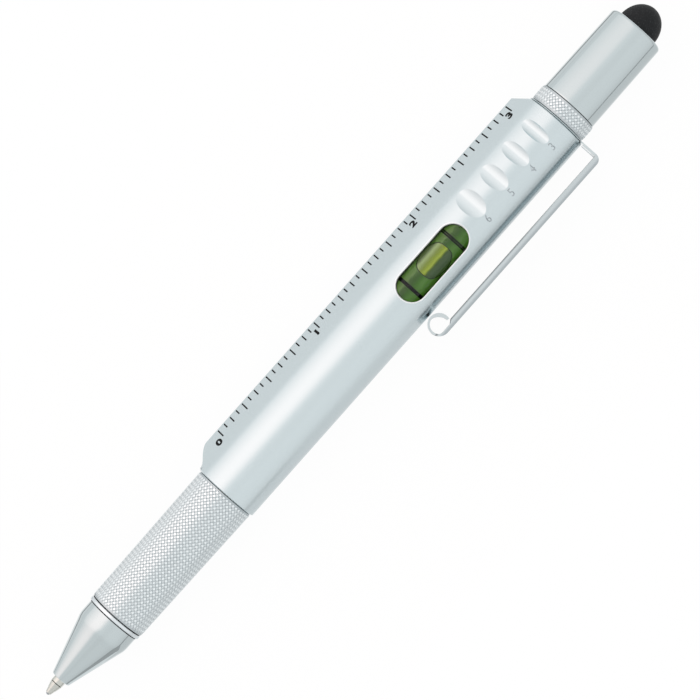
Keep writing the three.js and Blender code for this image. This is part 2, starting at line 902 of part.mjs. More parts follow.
// Barrel and what is fixed in it
add('barrel_shell', barrelShell(), finishes.satin_silver);
add('bearing_bush', tube(bush_start, bush_end, bush_radius, bush_bore), finishes.white_plastic);
add('mechanism_housing', mechanismHousing(), finishes.white_plastic);
add('vial_cradle', vialCradle(), finishes.white_plastic);
add('level_vial', tube(vial_start, vial_end, vial_radius, vial_radius - vial_wall)
  .translate(0, vial_shift, vial_height), finishes.clear_acrylic);
add('vial_fluid', vialFluid(), finishes.green_fluid);
add('vial_plug_front', vialPlug(-1), finishes.clear_acrylic);
add('vial_plug_rear', vialPlug(1), finishes.clear_acrylic);
add('vial_mark_front', vialMark(-1), finishes.black_plastic);
add('vial_mark_rear', vialMark(1), finishes.black_plastic);
add('bit_holder', bitHolder(), finishes.steel);
add('bit_magnet', rod(magnet_start, magnet_end, magnet_radius, fine_sides), finishes.magnet);
add('cap_seal_ring', sealRing(), finishes.rubber);
add('knurled_collar', collar(), finishes.knurled_metal);
add('clip_ring', clipRing(), finishes.bright_chrome);

// Clip, which springs away from the barrel
add('clip_strip', clipStrip(), finishes.bright_chrome);

// Driver bit, under the cap
add('driver_bit', driverBit(), finishes.steel);

// Stylus cap, which pulls off the bit holder
add('cap_shell', capShell(), finishes.bright_chrome);
add('cap_liner', tube(
  cap_start + holder_flange_length + cap_mouth_gap,
  cap_floor - joint_gap,
  cap_bore - seat_gap,
  liner_bore,
), finishes.black_plastic);
add('stylus_dome', stylusDome(), finishes.rubber);
add('stylus_stem', stylusStem(), finishes.steel);

export default pen;
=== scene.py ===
"""Looks of the multi tool pen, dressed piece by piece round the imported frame."""
import logging
import math
from contextlib import contextmanager
from dataclasses import dataclass
from enum import Enum
from typing import Any, Callable, Iterator, Optional, Sequence, Union

import bmesh
import bpy
from mathutils import Matrix, Vector


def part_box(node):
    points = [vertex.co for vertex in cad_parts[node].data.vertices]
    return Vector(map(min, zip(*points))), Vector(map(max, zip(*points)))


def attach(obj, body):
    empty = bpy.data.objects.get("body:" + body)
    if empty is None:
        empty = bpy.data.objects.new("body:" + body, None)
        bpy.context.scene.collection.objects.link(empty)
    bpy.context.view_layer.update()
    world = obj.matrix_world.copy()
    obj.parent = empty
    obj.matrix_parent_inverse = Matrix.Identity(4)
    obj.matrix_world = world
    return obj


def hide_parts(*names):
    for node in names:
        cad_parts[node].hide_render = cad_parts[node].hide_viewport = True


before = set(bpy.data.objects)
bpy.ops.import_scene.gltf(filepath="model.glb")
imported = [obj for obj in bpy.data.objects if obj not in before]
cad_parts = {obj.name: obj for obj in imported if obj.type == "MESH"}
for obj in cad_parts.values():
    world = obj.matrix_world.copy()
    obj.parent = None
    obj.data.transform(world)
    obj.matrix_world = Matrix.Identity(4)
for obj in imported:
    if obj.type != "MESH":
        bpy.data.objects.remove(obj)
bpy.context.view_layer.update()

# How far a cutter reaches past what it cuts, and how near two measures count as one, in millimetres.
SPARE = 1.0
TOUCH = 0.01

Profile = Sequence[tuple[float, float]]
Point = tuple[float, float, float]
Colour = tuple[int, int, int]
Node = bpy.types.Node
Socket = bpy.types.NodeSocket
Sockets = dict[str, Socket]
Mesh = bpy.types.Mesh
Input = Union[Socket, float, int, tuple]
Inputs = dict[Any, Input]
Bands = tuple[tuple[float, Colour], ...]
Levels = Sequence[tuple[float, float]]
Choice = Callable[[Vector, Vector], bool]

log = logging.getLogger("pen")


class Body(Enum):
    """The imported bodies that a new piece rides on."""

    BARREL = "barrel"
    WRITING_END = "writing_end"
    REFILL = "refill"
    CLIP = "clip"
    STYLUS_CAP = "stylus_cap"


class Slot(Enum):
    """The record's material slots, one named for each new piece."""

    SATIN_SILVER = "satin_silver"
    BRIGHT_CHROME = "bright_chrome"
    KNURLED_METAL = "knurled_metal"
    STEEL = "steel"
    REFILL_METAL = "refill_metal"
    BLACK_PLASTIC = "black_plastic"
    CLEAR_ACRYLIC = "clear_acrylic"
    GREEN_FLUID = "green_fluid"
    RUBBER = "rubber"


class Side(Enum):
    """A face of the ruler fin, by the sign of its height."""

    FRONT = 1
    BACK = -1


@dataclass(frozen=True)
class Span:
    """How far a node reaches along the pen and out from the axis, in millimetres."""

    start: float
    end: float
    radius: float

    @property
    def length(self) -> float:
        """The reach along the pen."""
        return self.end - self.start

    @property
    def middle(self) -> float:
        """The place halfway along."""
        return (self.start + self.end) / 2


@dataclass(frozen=True)
class PenAxis:
    """Where the writing tip and the pen's axis lie in the row frame, in metres."""

    tip: float
    across: float
    height: float
    unit: float = 0.001

    @classmethod
    def from_frame(cls) -> "PenAxis":
        """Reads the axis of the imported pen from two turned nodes."""
        low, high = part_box("cap_shell")
        middle = (low + high) / 2
        return cls(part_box("writing_ball")[0].x, middle.y, middle.z)

    def matrix(self) -> Matrix:
        """The step from the pen's millimetres to the row frame."""
        return Matrix.Translation((self.tip, self.across, self.height)) @ Matrix.Scale(self.unit, 4)

    def place(self, point: Point) -> Vector:
        """A point of the pen, in the row frame."""
        return self.matrix() @ Vector(point)

    def box(self, node: str) -> tuple[Vector, Vector]:
        """A CAD node's lowest and highest corners, in the pen's millimetres."""
        back = self.matrix().inverted()
        low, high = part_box(node)
        return back @ low, back @ high

    def span(self, node: str) -> Span:
        """A CAD node's ends along the pen and half its width across."""
        low, high = self.box(node)
        return Span(low.x, high.x, (high.y - low.y) / 2)


PEN = PenAxis.from_frame()


class Wiring:
    """Builds a node tree, one node with all its inputs at a time."""

    def __init__(self, tree: bpy.types.NodeTree) -> None:
        """Takes the tree that the nodes go into."""
        self.tree = tree

    @classmethod
    def bare(cls, block: Union[bpy.types.Material, bpy.types.World]) -> "Wiring":
        """Empties a material's or a world's tree and takes it."""
        block.use_nodes = True
        block.node_tree.nodes.clear()
        return cls(block.node_tree)

    def node(self, kind: str, inputs: Optional[Inputs] = None, **settings: Any) -> Node:
        """Adds one node.

        Args:
            kind: The node's type name.
            inputs: A value or an output socket for each input, by name or number.
            **settings: The node's own properties.

        Returns:
            The new node.
        """
        made = self.tree.nodes.new(kind)
        for key, value in settings.items():
            setattr(made, key, value)
        for key, value in (inputs or {}).items():
            if isinstance(value, Socket):
                self.tree.links.new(value, made.inputs[key])
            else:
                made.inputs[key].default_value = value
        return made

    def out(self, kind: str, inputs: Optional[Inputs] = None, **settings: Any) -> Socket:
        """Adds one node and gives its first output that is in use."""
        made = self.node(kind, inputs, **settings)
        return next(socket for socket in made.outputs if socket.enabled)

    def maths(self, operation: str, *values: Input) -> Socket:
        """Adds a Math node."""
        return self.out("ShaderNodeMath", dict(enumerate(values)), operation=operation)

    def vector(self, **parts: Input) -> Socket:
        """Puts a vector together from its named parts."""
        return self.out("ShaderNodeCombineXYZ", {name.upper(): value for name, value in parts.items()})

    def ramp(self, share: Input, stops: Sequence[tuple[float, Sequence[float]]]) -> Socket:
        """Adds a colour ramp.

        Args:
            share: How far along the ramp, from 0 to 1.
            stops: A place and a linear colour for each stop, in order.

        Returns:
            The colour.
        """
        made = self.node("ShaderNodeValToRGB", {"Fac": share})
        elements = made.color_ramp.elements
        for place, _ in stops[1:-1]:
            elements.new(place)
        for element, (place, colour) in zip(elements, stops):
            element.position = place
            element.color = colour
        return made.outputs["Color"]


def linear(colour: Colour) -> tuple[float, float, float, float]:
    """Turns a colour as seen, 0 to 255, into the shader's linear values with a full alpha."""
    steps = [value / 255 for value in colour]
    return tuple(v / 12.92 if v <= 0.04045 else ((v + 0.055) / 1.055) ** 2.4 for v in steps) + (1.0,)


def surfaced(name: str, wire: Callable[[Wiring], Socket]) -> bpy.types.Material:
    """Makes a material.

    Args:
        name: Its name.
        wire: Wires its shader and gives it.

    Returns:
        The material.
    """
    made = bpy.data.materials.new(name)
    wiring = Wiring.bare(made)
    wiring.node("ShaderNodeOutputMaterial", {"Surface": wire(wiring)})
    return made


@dataclass(frozen=True)
class Finish:
    """One finish: a Principled surface whose colour, gloss and relief vary finely."""

    GRAIN_LOW = 0.25
    GRAIN_HIGH = 0.75

    name: str
    colour: Colour
    roughness: float
    metallic: float = 0.0
    roughness_spread: float = 0.04
    tint_spread: float = 0.03
    grain: float = 0.15
    grain_stretch: float = 1.0
    relief: float = 0.002
    relief_strength: float = 0.6
    specular: float = 0.5

    def material(self) -> bpy.types.Material:
        """Gives the material that every piece of this finish shares, made once."""
        return bpy.data.materials.get(self.name) or surfaced(self.name, self.surface)

    def surface(self, wiring: Wiring) -> Socket:
        """Wires the Principled shader.

        Args:
            wiring: The material's tree.

        Returns:
            The shader.
        """
        return wiring.out("ShaderNodeBsdfPrincipled", {
            "Metallic": self.metallic, "Specular IOR Level": self.specular, **self.dress(wiring),
        })

    def dress(self, wiring: Wiring) -> Inputs:
        """Wires the colour, gloss and relief of the plain finish."""
        grain = self.grain_of(wiring, self.grain)
        return {
            "Base Color": self.tint(wiring, grain), "Roughness": self.gloss(wiring, grain),
            "Normal": self.raised(wiring, grain),
        }

    def grain_of(self, wiring: Wiring, size: float) -> Socket:
        """Makes a fine noise, drawn out along the pen.

        Args:
            wiring: The material's tree.
            size: How wide one grain is, in millimetres.

        Returns:
            A value about 0.5 that varies from place to place.
        """
        coordinates = wiring.node("ShaderNodeTexCoord").outputs["Object"]
        pitch = size * PEN.unit
        scale = (1 / (pitch * self.grain_stretch), 1 / pitch, 1 / pitch)
        mapping = wiring.out("ShaderNodeMapping", {"Vector": coordinates, "Scale": scale})
        return wiring.out("ShaderNodeTexNoise", {"Vector": mapping, "Scale": 1.0, "Detail": 3.0})

    def spread(self, wiring: Wiring, grain: Socket, middle: float, reach: float) -> Socket:
        """Stretches the noise to reach so far either side of a middle value."""
        return wiring.out("ShaderNodeMapRange", {
            "Value": grain, "From Min": self.GRAIN_LOW, "From Max": self.GRAIN_HIGH,
            "To Min": middle - reach, "To Max": middle + reach,
        })

    def gloss(self, wiring: Wiring, grain: Socket) -> Socket:
        """Varies the roughness with the grain."""
        return self.spread(wiring, grain, self.roughness, self.roughness_spread)

    def tint(self, wiring: Wiring, grain: Socket) -> Socket:
        """Varies the colour a little with the grain."""
        base = wiring.out("ShaderNodeRGB")
        base.default_value = linear(self.colour)
        level = self.spread(wiring, grain, 1, self.tint_spread)
        return wiring.out("ShaderNodeVectorMath", {0: base, "Scale": level}, operation="SCALE")

    def raised(self, wiring: Wiring, grain: Socket) -> Socket:
        """Gives the surface a fine relief, as deep as the field relief says, in millimetres."""
        return wiring.out("ShaderNodeBump", {
            "Height": grain, "Strength": self.relief_strength, "Distance": self.relief * PEN.unit,
        })


@dataclass(frozen=True)
class KnurledFinish(Finish):
    """A bright metal with painted shade in the hollows between the beads, where it is also dull."""

    # The hollow colour is painted shade in the hollows between the beads.
    hollow: Colour = (190, 198, 201)
    hollow_roughness: float = 0.4
    hollow_end: float = 0.05
    crown_start: float = 0.85
    grain_share: float = 0.1

    def dress(self, wiring: Wiring) -> Inputs:
        """Paints shade where the bead height is low, darkening the colour, and dulls the metal there."""
        height = wiring.node("ShaderNodeAttribute", attribute_name=Knurl.HEIGHT).outputs["Fac"]
        grain = self.grain_of(wiring, self.grain)
        rise = wiring.maths("ADD", height, wiring.maths("MULTIPLY", grain, self.grain_share))
        colour = wiring.ramp(rise, (
            (self.hollow_end, linear(self.hollow)), (self.crown_start, linear(self.colour)),
        ))
        rough = wiring.out("ShaderNodeMapRange", {
            "Value": rise, "To Min": self.hollow_roughness, "To Max": self.roughness,
        })
        return {"Base Color": colour, "Roughness": rough, "Normal": self.raised(wiring, grain)}


@dataclass(frozen=True)
class ClearFinish(Finish):
    """A clear body that light goes through."""

    bend: float = 1.49

    def dress(self, wiring: Wiring) -> Inputs:
        """Sets the clear body's own values and a faint flow in its surface."""
        grain = self.grain_of(wiring, self.grain)
        return {
            "Transmission Weight": 1.0, "IOR": self.bend,
            "Base Color": self.tint(wiring, grain), "Roughness": self.gloss(wiring, grain),
        }


@dataclass(frozen=True)
class BandedFinish(Finish):
    """A finish whose colour is painted light and shade in soft bands that run along the pen.

    The bands pair a place across the pen, in millimetres, with a colour, and a second set may
    take over further along it.
    """

    bands: Bands = ()
    far_bands: Bands = ()
    change: tuple[float, float] = (0.0, 1.0)
    # How strongly the painted bands glow, though the body is no lamp.
    glow: float = 0.0
    wobble: float = 0.04

    def dress(self, wiring: Wiring) -> Inputs:
        """Blends the painted bands of light and shade by place, and makes them glow, as painted light, where
        a glow is set.
        """
        grain = self.grain_of(wiring, self.grain)
        coordinates = wiring.node("ShaderNodeTexCoord").outputs["Object"]
        split = wiring.node("ShaderNodeSeparateXYZ", {0: coordinates})
        colour = self.across(wiring, split.outputs["Y"], grain, self.bands)
        if self.far_bands:
            far = self.across(wiring, split.outputs["Y"], grain, self.far_bands)
            start, end = (PEN.place((place, 0, 0)).x for place in self.change)
            share = wiring.out("ShaderNodeMapRange", {
                "Value": split.outputs["X"], "From Min": start, "From Max": end,
            })
            colour = wiring.out("ShaderNodeMix", {0: share, 6: colour, 7: far}, data_type="RGBA")
        lit = {"Emission Color": colour, "Emission Strength": self.glow} if self.glow else {}
        return {"Base Color": colour, "Roughness": self.gloss(wiring, grain), **lit}

    def across(self, wiring: Wiring, place: Socket, grain: Socket, bands: Bands) -> Socket:
        """Makes one set of bands.

        Args:
            wiring: The material's tree.
            place: How far across the row frame, in metres.
            grain: The noise that makes the bands waver.
            bands: The places and their colours.

        Returns:
            The colour.
        """
        near, far = bands[0][0], bands[-1][0]
        first, last = (PEN.place((0, end, 0)).y for end in (near, far))
        share = wiring.out("ShaderNodeMapRange", {"Value": place, "From Min": first, "From Max": last})
        waver = wiring.maths("MULTIPLY_ADD", grain, self.wobble, -self.wobble / 2)
        stops = [((spot - near) / (far - near), linear(colour)) for spot, colour in bands]
        return wiring.ramp(wiring.maths("ADD", share, waver), stops)


@dataclass(frozen=True)
class SpeckledFinish(Finish):
    """A matt moulded rubber with pale specks of dust in its skin."""

    speck: Colour = (70, 74, 76)
    speck_size: float = 0.22
    speck_start: float = 0.58
    speck_full: float = 0.78

    def dress(self, wiring: Wiring) -> Inputs:
        """Scatters small pale specks over the plain rubber."""
        grain = self.grain_of(wiring, self.grain)
        dust = self.grain_of(wiring, self.speck_size)
        colour = wiring.ramp(dust, (
            (self.speck_start, linear(self.colour)), (self.speck_full, linear(self.speck)),
        ))
        return {
            "Base Color": colour, "Roughness": self.gloss(wiring, grain),
            "Normal": self.raised(wiring, grain),
        }


SATIN = Finish("satin_silver_paint", (208, 219, 222), 0.25, metallic=1.0, grain=0.06,
               roughness_spread=0.05, tint_spread=0.02, relief=0.0008)
CHROME = Finish("bright_chrome_plate", (198, 208, 210), 0.08, metallic=1.0, grain=0.25,
                roughness_spread=0.02, tint_spread=0.01, relief=0.0003)
BRIGHT_CUT = Finish("bright_cut_metal", (248, 250, 251), 0.55, metallic=1.0, grain=0.05, grain_stretch=3.0)
FLANGE_CUT = Finish("bright_cut_flange", (226, 233, 236), 0.32, metallic=1.0, grain=0.05, grain_stretch=0.3)
KNURLED = KnurledFinish("knurled_bright_metal", (234, 241, 243), 0.26, metallic=1.0, grain=0.08)
# The clip's chrome with painted shade lines along its edges and a painted highlight between them; the inner
# shade line fades further along the pen.
STRIP_PAINTED_SHADE = BandedFinish(
    "plated_strip_metal", (198, 208, 210), 0.1, metallic=1.0, grain=0.25, roughness_spread=0.03,
    bands=((-10.5, (174, 182, 185)), (-10.2, (174, 182, 185)), (-9.95, (192, 200, 203)),
           (-9.7, (205, 213, 215)), (-9.5, (200, 208, 210)), (-9.34, (146, 153, 155)),
           (-9.14, (146, 153, 155)), (-9.0, (204, 212, 214))),
    far_bands=((-10.5, (174, 182, 185)), (-10.2, (174, 182, 185)), (-9.95, (192, 200, 203)),
               (-9.7, (200, 208, 210)), (-9.14, (198, 206, 208)), (-9.0, (206, 214, 216))),
    change=(113.5, 124.0))
SHADED_GAP = Finish("shaded_gap", (34, 37, 39), 0.5, specular=0.1, grain=0.2)
WINDOW_WALL = Finish("shaded_window_wall", (44, 56, 38), 0.45, specular=0.2, grain=0.2)
BRASS = Finish("turned_brass", (192, 158, 88), 0.3, metallic=1.0, grain=0.1, grain_stretch=0.2)
STEEL = Finish("ground_steel", (168, 173, 176), 0.3, metallic=1.0, grain=0.1, grain_stretch=0.25)
NICKEL = Finish("refill_nickel", (205, 207, 201), 0.2, metallic=1.0, grain=0.12)
INK = Finish("writing_ink", (18, 20, 26), 0.25, grain=0.4)
WHITE_PLASTIC = Finish("moulded_white_plastic", (222, 224, 222), 0.42, grain=0.3, relief=0.004)
BLACK_PLASTIC = Finish("moulded_black_plastic", (30, 32, 34), 0.4, grain=0.3, relief=0.004)
BLACK_PRINT = Finish("black_print", (8, 9, 10), 0.55, grain=0.05, relief=0.001, specular=0.1)
ACRYLIC = ClearFinish("clear_acrylic_tube", (238, 244, 232), 0.02, roughness_spread=0.01,
                      tint_spread=0.01, grain=2.0, specular=0.06, bend=1.35)
# The fluid's green, with painted shade at its edges and middle, painted sheen bands, and a painted glow.
FLUID_PAINTED_LIGHT = BandedFinish(
    "green_level_fluid", (60, 96, 34), 0.2, roughness_spread=0.02, grain=1.4, specular=0.05, glow=0.65,
    bands=((-2.6, (20, 34, 12)), (-2.4, (52, 84, 28)), (-2.1, (68, 106, 42)), (-1.4, (68, 108, 38)),
           (-0.7, (52, 90, 20)), (0.0, (36, 70, 8)), (0.4, (50, 82, 24)), (0.7, (90, 118, 64)),
           (1.3, (94, 124, 66)), (1.7, (62, 92, 38)), (2.1, (30, 52, 22)), (2.6, (10, 22, 8))),
    wobble=0.16)
FLUID_SHADE = Finish("shaded_level_fluid", (14, 26, 10), 0.4, specular=0.05, grain=0.6)
# The bubble's colour is painted: a highlight and sheen bands, shade towards its edges, and a painted glow.
BUBBLE_PAINTED_LIGHT = BandedFinish(
    "level_bubble", (104, 116, 62), 0.2, roughness_spread=0.02, grain=1.0, specular=0.05, glow=0.7,
    bands=((-2.4, (60, 82, 42)), (-1.6, (54, 74, 48)), (-0.9, (50, 68, 34)), (-0.74, (84, 98, 20)),
           (-0.5, (140, 150, 50)), (-0.1, (118, 130, 38)), (0.2, (108, 120, 40)), (0.5, (122, 134, 80)),
           (0.85, (150, 162, 120)), (1.2, (100, 112, 80)), (1.6, (70, 82, 46)), (2.1, (34, 46, 22))),
    wobble=0.06)
# Painted shade on the walls of the raised gauge numbers.
NUMBER_WALL_SHADE = Finish("raised_number_edge", (172, 180, 184), 0.38, metallic=1.0, grain=0.06)
RUBBER = SpeckledFinish("matt_black_rubber", (19, 22, 24), 0.62, grain=0.12, relief=0.01, specular=0.25)
MAGNET = Finish("plated_magnet", (150, 155, 158), 0.25, metallic=1.0, grain=0.1)


def linked(name: str, data: bpy.types.ID) -> bpy.types.Object:
    """Makes an object of some data and puts it in the scene."""
    thing = bpy.data.objects.new(name, data)
    bpy.context.scene.collection.objects.link(thing)
    return thing


@contextmanager
def edited(mesh: Mesh) -> Iterator[bmesh.types.BMesh]:
    """Opens a mesh for edits and writes it back."""
    work = bmesh.new()
    work.from_mesh(mesh)
    yield work
    work.to_mesh(mesh)
    work.free()


class Solid:
    """A closed mesh in the making, in millimetres on the pen's own axis."""

    WELD = 1e-4
    CLOSED_UP = 1e-5

    def __init__(self, corners: Sequence[Point], faces: Sequence[Sequence[int]]) -> None:
        """Makes the mesh, welds what meets and turns its faces outwards."""
        mesh = bpy.data.meshes.new("solid")
        mesh.from_pydata(corners, [], faces)
        self.thing = linked("solid", mesh)
        self.weld()

    @classmethod
    def holding(cls, thing: bpy.types.Object) -> "Solid":
        """Takes over an object that already has its mesh, as it is."""
        solid = cls.__new__(cls)
        solid.thing = thing
        return solid

    @classmethod
    def turned(cls, profile: Profile, sides: int = 128) -> "Solid":
        """Turns a profile round the pen's axis.

        Args:
            profile: (place, radius) points, closed or ending on the axis at both ends.
            sides: Facets round.

        Returns:
            The turned solid.
        """
        angles = [2 * math.pi * k / sides for k in range(sides)]
        loops = [[(x, r * math.sin(a), r * math.cos(a)) for a in angles] for x, r in profile]
        return cls.lofted(loops, closed=profile[0] == profile[-1])

    @classmethod
    def rod(cls, start: float, end: float, radius: float, sides: int) -> "Solid":
        """A plain rod on the axis."""
        return cls.turned([(start, 0), (start, radius), (end, radius), (end, 0)], sides)

    @classmethod
    def lofted(cls, loops: Sequence[Sequence[Point]], closed: bool = False) -> "Solid":
        """Skins equal loops of points in order, and caps the ends of an open stack."""
        sides = len(loops[0])
        corners = [point for loop in loops for point in loop]
        faces = [
            (row * sides + k, row * sides + (k + 1) % sides,
             (row + 1) * sides + (k + 1) % sides, (row + 1) * sides + k)
            for row in range(len(loops) - 1) for k in range(sides)
        ]
        if not closed:
            faces += [tuple(range(sides)), tuple(range(len(corners) - sides, len(corners)))]
        return cls(corners, faces)

    @classmethod
    def drawn(cls, outline: Profile, low: float, high: float, along_pen: bool = False) -> "Solid":
        """Draws a flat outline out.

        Args:
            outline: Points (x, y), or (y, z) where along_pen is set.
            low: Where it starts.
            high: Where it ends.
            along_pen: Draws the outline along the pen instead of up.

        Returns:
            The drawn solid.
        """
        if along_pen:
            return cls.lofted([[(x, y, z) for y, z in outline] for x in (low, high)])
        return cls.lofted([[(x, y, z) for x, y in outline] for z in (low, high)])

    @classmethod
    def gathered(cls, solids: Sequence["Solid"]) -> "Solid":
        """Puts several solids in one mesh as they are, and uses them up."""
        first, *others = solids
        with edited(first.thing.data) as work:
            for solid in others:
                work.from_mesh(solid.thing.data)
            bmesh.ops.recalc_face_normals(work, faces=work.faces)
        for solid in others:
            solid.discard()
        return first

    def weld(self) -> "Solid":
        """Merges doubles, drops closed-up faces and turns the rest outwards."""
        with edited(self.thing.data) as work:
            bmesh.ops.remove_doubles(work, verts=work.verts, dist=self.WELD)
            bmesh.ops.dissolve_degenerate(work, edges=work.edges, dist=self.CLOSED_UP)
            bmesh.ops.recalc_face_normals(work, faces=work.faces)
        return self

    def evaluated(self) -> Mesh:
        """A plain mesh of the object as it stands with its modifiers."""
        depsgraph = bpy.context.evaluated_depsgraph_get()
        return bpy.data.meshes.new_from_object(self.thing.evaluated_get(depsgraph), depsgraph=depsgraph)

    def bake(self) -> "Solid":
        """Turns the live modifiers into plain mesh."""
        rough = self.thing.data
        baked = self.evaluated()
        self.thing.modifiers.clear()
        self.thing.data = baked
        bpy.data.meshes.remove(rough)
        return self

    def modify(self, kind: str, **settings: Any) -> "Solid":
        """Runs one modifier with its settings on the mesh."""
        modifier = self.thing.modifiers.new(kind.lower(), kind)
        for key, value in settings.items():
            setattr(modifier, key, value)
        return self.bake()

    def combine(self, others: Sequence["Solid"], operation: str) -> "Solid":
        """Joins, cuts or meets with other solids in turn, which are used up."""
        for other in others:
            self.modify("BOOLEAN", operation=operation, solver="EXACT", object=other.thing)
            other.discard()
        return self

    def cut(self, *others: "Solid") -> "Solid":
        """Takes each of the others away."""
        return self.combine(others, "DIFFERENCE")

    def join(self, *others: "Solid") -> "Solid":
        """Joins the others on."""
        return self.combine(others, "UNION")

    def meet(self, other: "Solid") -> "Solid":
        """Keeps only what both share."""
        return self.combine([other], "INTERSECT")

    def moved(self, matrix: Matrix) -> "Solid":
        """Moves the mesh itself."""
        self.thing.data.transform(matrix)
        return self

    def discard(self) -> None:
        """Removes the solid and its mesh."""
        mesh = self.thing.data
        bpy.data.objects.remove(self.thing)
        bpy.data.meshes.remove(mesh)

    def piece(self, name: str, body: Body, slot: Slot, finish: Finish, *nodes: str,
              sharp: float = 28) -> Mesh:
        """Places the solid in the row frame as a finished piece of the pen.

        Args:
            name: The piece's name.
            body: The body that it rides on.
            slot: The record's material slot; not used.
            finish: What it is dressed in.
            *nodes: The CAD nodes that it stands for.
            sharp: The angle, in degrees, past which an edge shows.

        Returns:
            The piece's mesh.
        """
        thing = self.thing
        thing.name = name
        thing.data.transform(PEN.matrix())
        thing.data.shade_smooth()
        thing.data.set_sharp_from_angle(angle=math.radians(sharp))
        self.modify("WEIGHTED_NORMAL", mode="FACE_AREA", weight=50, keep_sharp=True)
        mesh = thing.data
        mesh.name = name
        mesh.materials.clear()
        mesh.materials.append(finish.material())
        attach(thing, body.value)
        if nodes:
            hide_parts(*nodes)
        log.info("%s: %d faces on %s", name, len(mesh.polygons), body.value)
        return mesh


def face_finish(mesh: Mesh, finish: Finish, chosen: Choice) -> None:
    """Gives some faces of a finished piece a second finish.

    Args:
        mesh: The piece's mesh.
        finish: What the faces are dressed in.
        chosen: Tells from a face's middle, in the pen's millimetres, and its normal whether it is one.
    """
    mesh.materials.append(finish.material())
    number = len(mesh.materials) - 1
    back = PEN.matrix().inverted()
    for face in mesh.polygons:
        if chosen(back @ face.center, face.normal):
            face.material_index = number


def shares(steps: int) -> list[float]:
    """Equal steps from 0 to 1, both included."""
    return [k / steps for k in range(steps + 1)]


def rolled(degrees: float) -> Matrix:
    """A turn about the pen's axis."""
    return Matrix.Rotation(math.radians(degrees), 4, "X")


def slotted(middle: tuple[float, float], reach: float, half: float, steps: int) -> Profile:
    """A slot's outline with round ends.

    Args:
        middle: Its middle.
        reach: How far from there its ends' centres lie.
        half: Half its width.
        steps: Steps round one end.

    Returns:
        The points.
    """
    x, y = middle
    return arc((x + reach, y), half, -90, 90, steps) + arc((x - reach, y), half, 90, 270, steps)


def arc(
    centre: tuple[float, float], radius: float, start: float, end: float, steps: int,
) -> list[tuple[float, float]]:
    """Points on an arc in a plane, both ends included.

    Args:
        centre: The arc's centre.
        radius: Its radius.
        start: The first angle, in degrees.
        end: The last angle, in degrees.
        steps: Steps between them.

    Returns:
        The points.
    """
    angles = [math.radians(start + (end - start) * k / steps) for k in range(steps + 1)]
    return [(centre[0] + radius * math.cos(a), centre[1] + radius * math.sin(a)) for a in angles]


def tube(span: Span, bore: float, chamfer: float = 0.1) -> Profile:
    """A plain tube's closed profile with broken outer edges."""
    return [
        (span.start, bore), (span.start, span.radius - chamfer),
        (span.start + chamfer, span.radius), (span.end - chamfer, span.radius),
        (span.end, span.radius - chamfer), (span.end, bore), (span.start, bore),
    ]


Fill = Callable[[Wiring, Sockets], Socket]


@dataclass(frozen=True)
class Pattern:
    """A Geometry Nodes tree that repeats a shape, made once, with a named input for each size."""

    KINDS = {int: "NodeSocketInt", float: "NodeSocketFloat"}

    name: str
    weld: float
    finish: Finish

    def tree(self, fill: Fill, values: dict[str, Any]) -> bpy.types.NodeTree:
        """Makes the tree, which ends in real geometry with its doubles merged and its material set.

        Args:
            fill: Wires the repeats from the named inputs and gives their geometry.
            values: A value for each named input.

        Returns:
            The tree.
        """
        tree = bpy.data.node_groups.new(self.name, "GeometryNodeTree")
        for way in ("INPUT", "OUTPUT"):
            tree.interface.new_socket("Geometry", in_out=way, socket_type="NodeSocketGeometry")
        for label, value in values.items():
            tree.interface.new_socket(label, in_out="INPUT", socket_type=self.KINDS[type(value)])
        wiring = Wiring(tree)
        given = wiring.node("NodeGroupInput").outputs
        repeats = fill(wiring, {socket.name: socket for socket in given})
        real = wiring.out("GeometryNodeRealizeInstances", {0: repeats})
        merged = wiring.out("GeometryNodeMergeByDistance", {"Geometry": real, "Distance": self.weld})
        dressed = wiring.out("GeometryNodeSetMaterial", {
            "Geometry": merged, "Material": self.finish.material(),
        })
        wiring.node("NodeGroupOutput", {0: dressed})
        return tree

    def run(self, base: bpy.types.Object, fill: Fill, values: dict[str, Any]) -> Solid:
        """Runs the tree on an object and keeps the plain mesh.

        Args:
            base: The object whose mesh the tree starts from.
            fill: Wires the repeats, if the tree isn't there yet.
            values: A value for each named input.

        Returns:
            The repeats as one solid.
        """
        tree = bpy.data.node_groups.get(self.name) or self.tree(fill, values)
        modifier = base.modifiers.new(tree.name, "NODES")
        modifier.node_group = tree
        for item in tree.interface.items_tree:
            if item.in_out == "INPUT" and item.name in values:
                modifier[item.identifier] = values[item.name]
        return Solid.holding(base).bake()


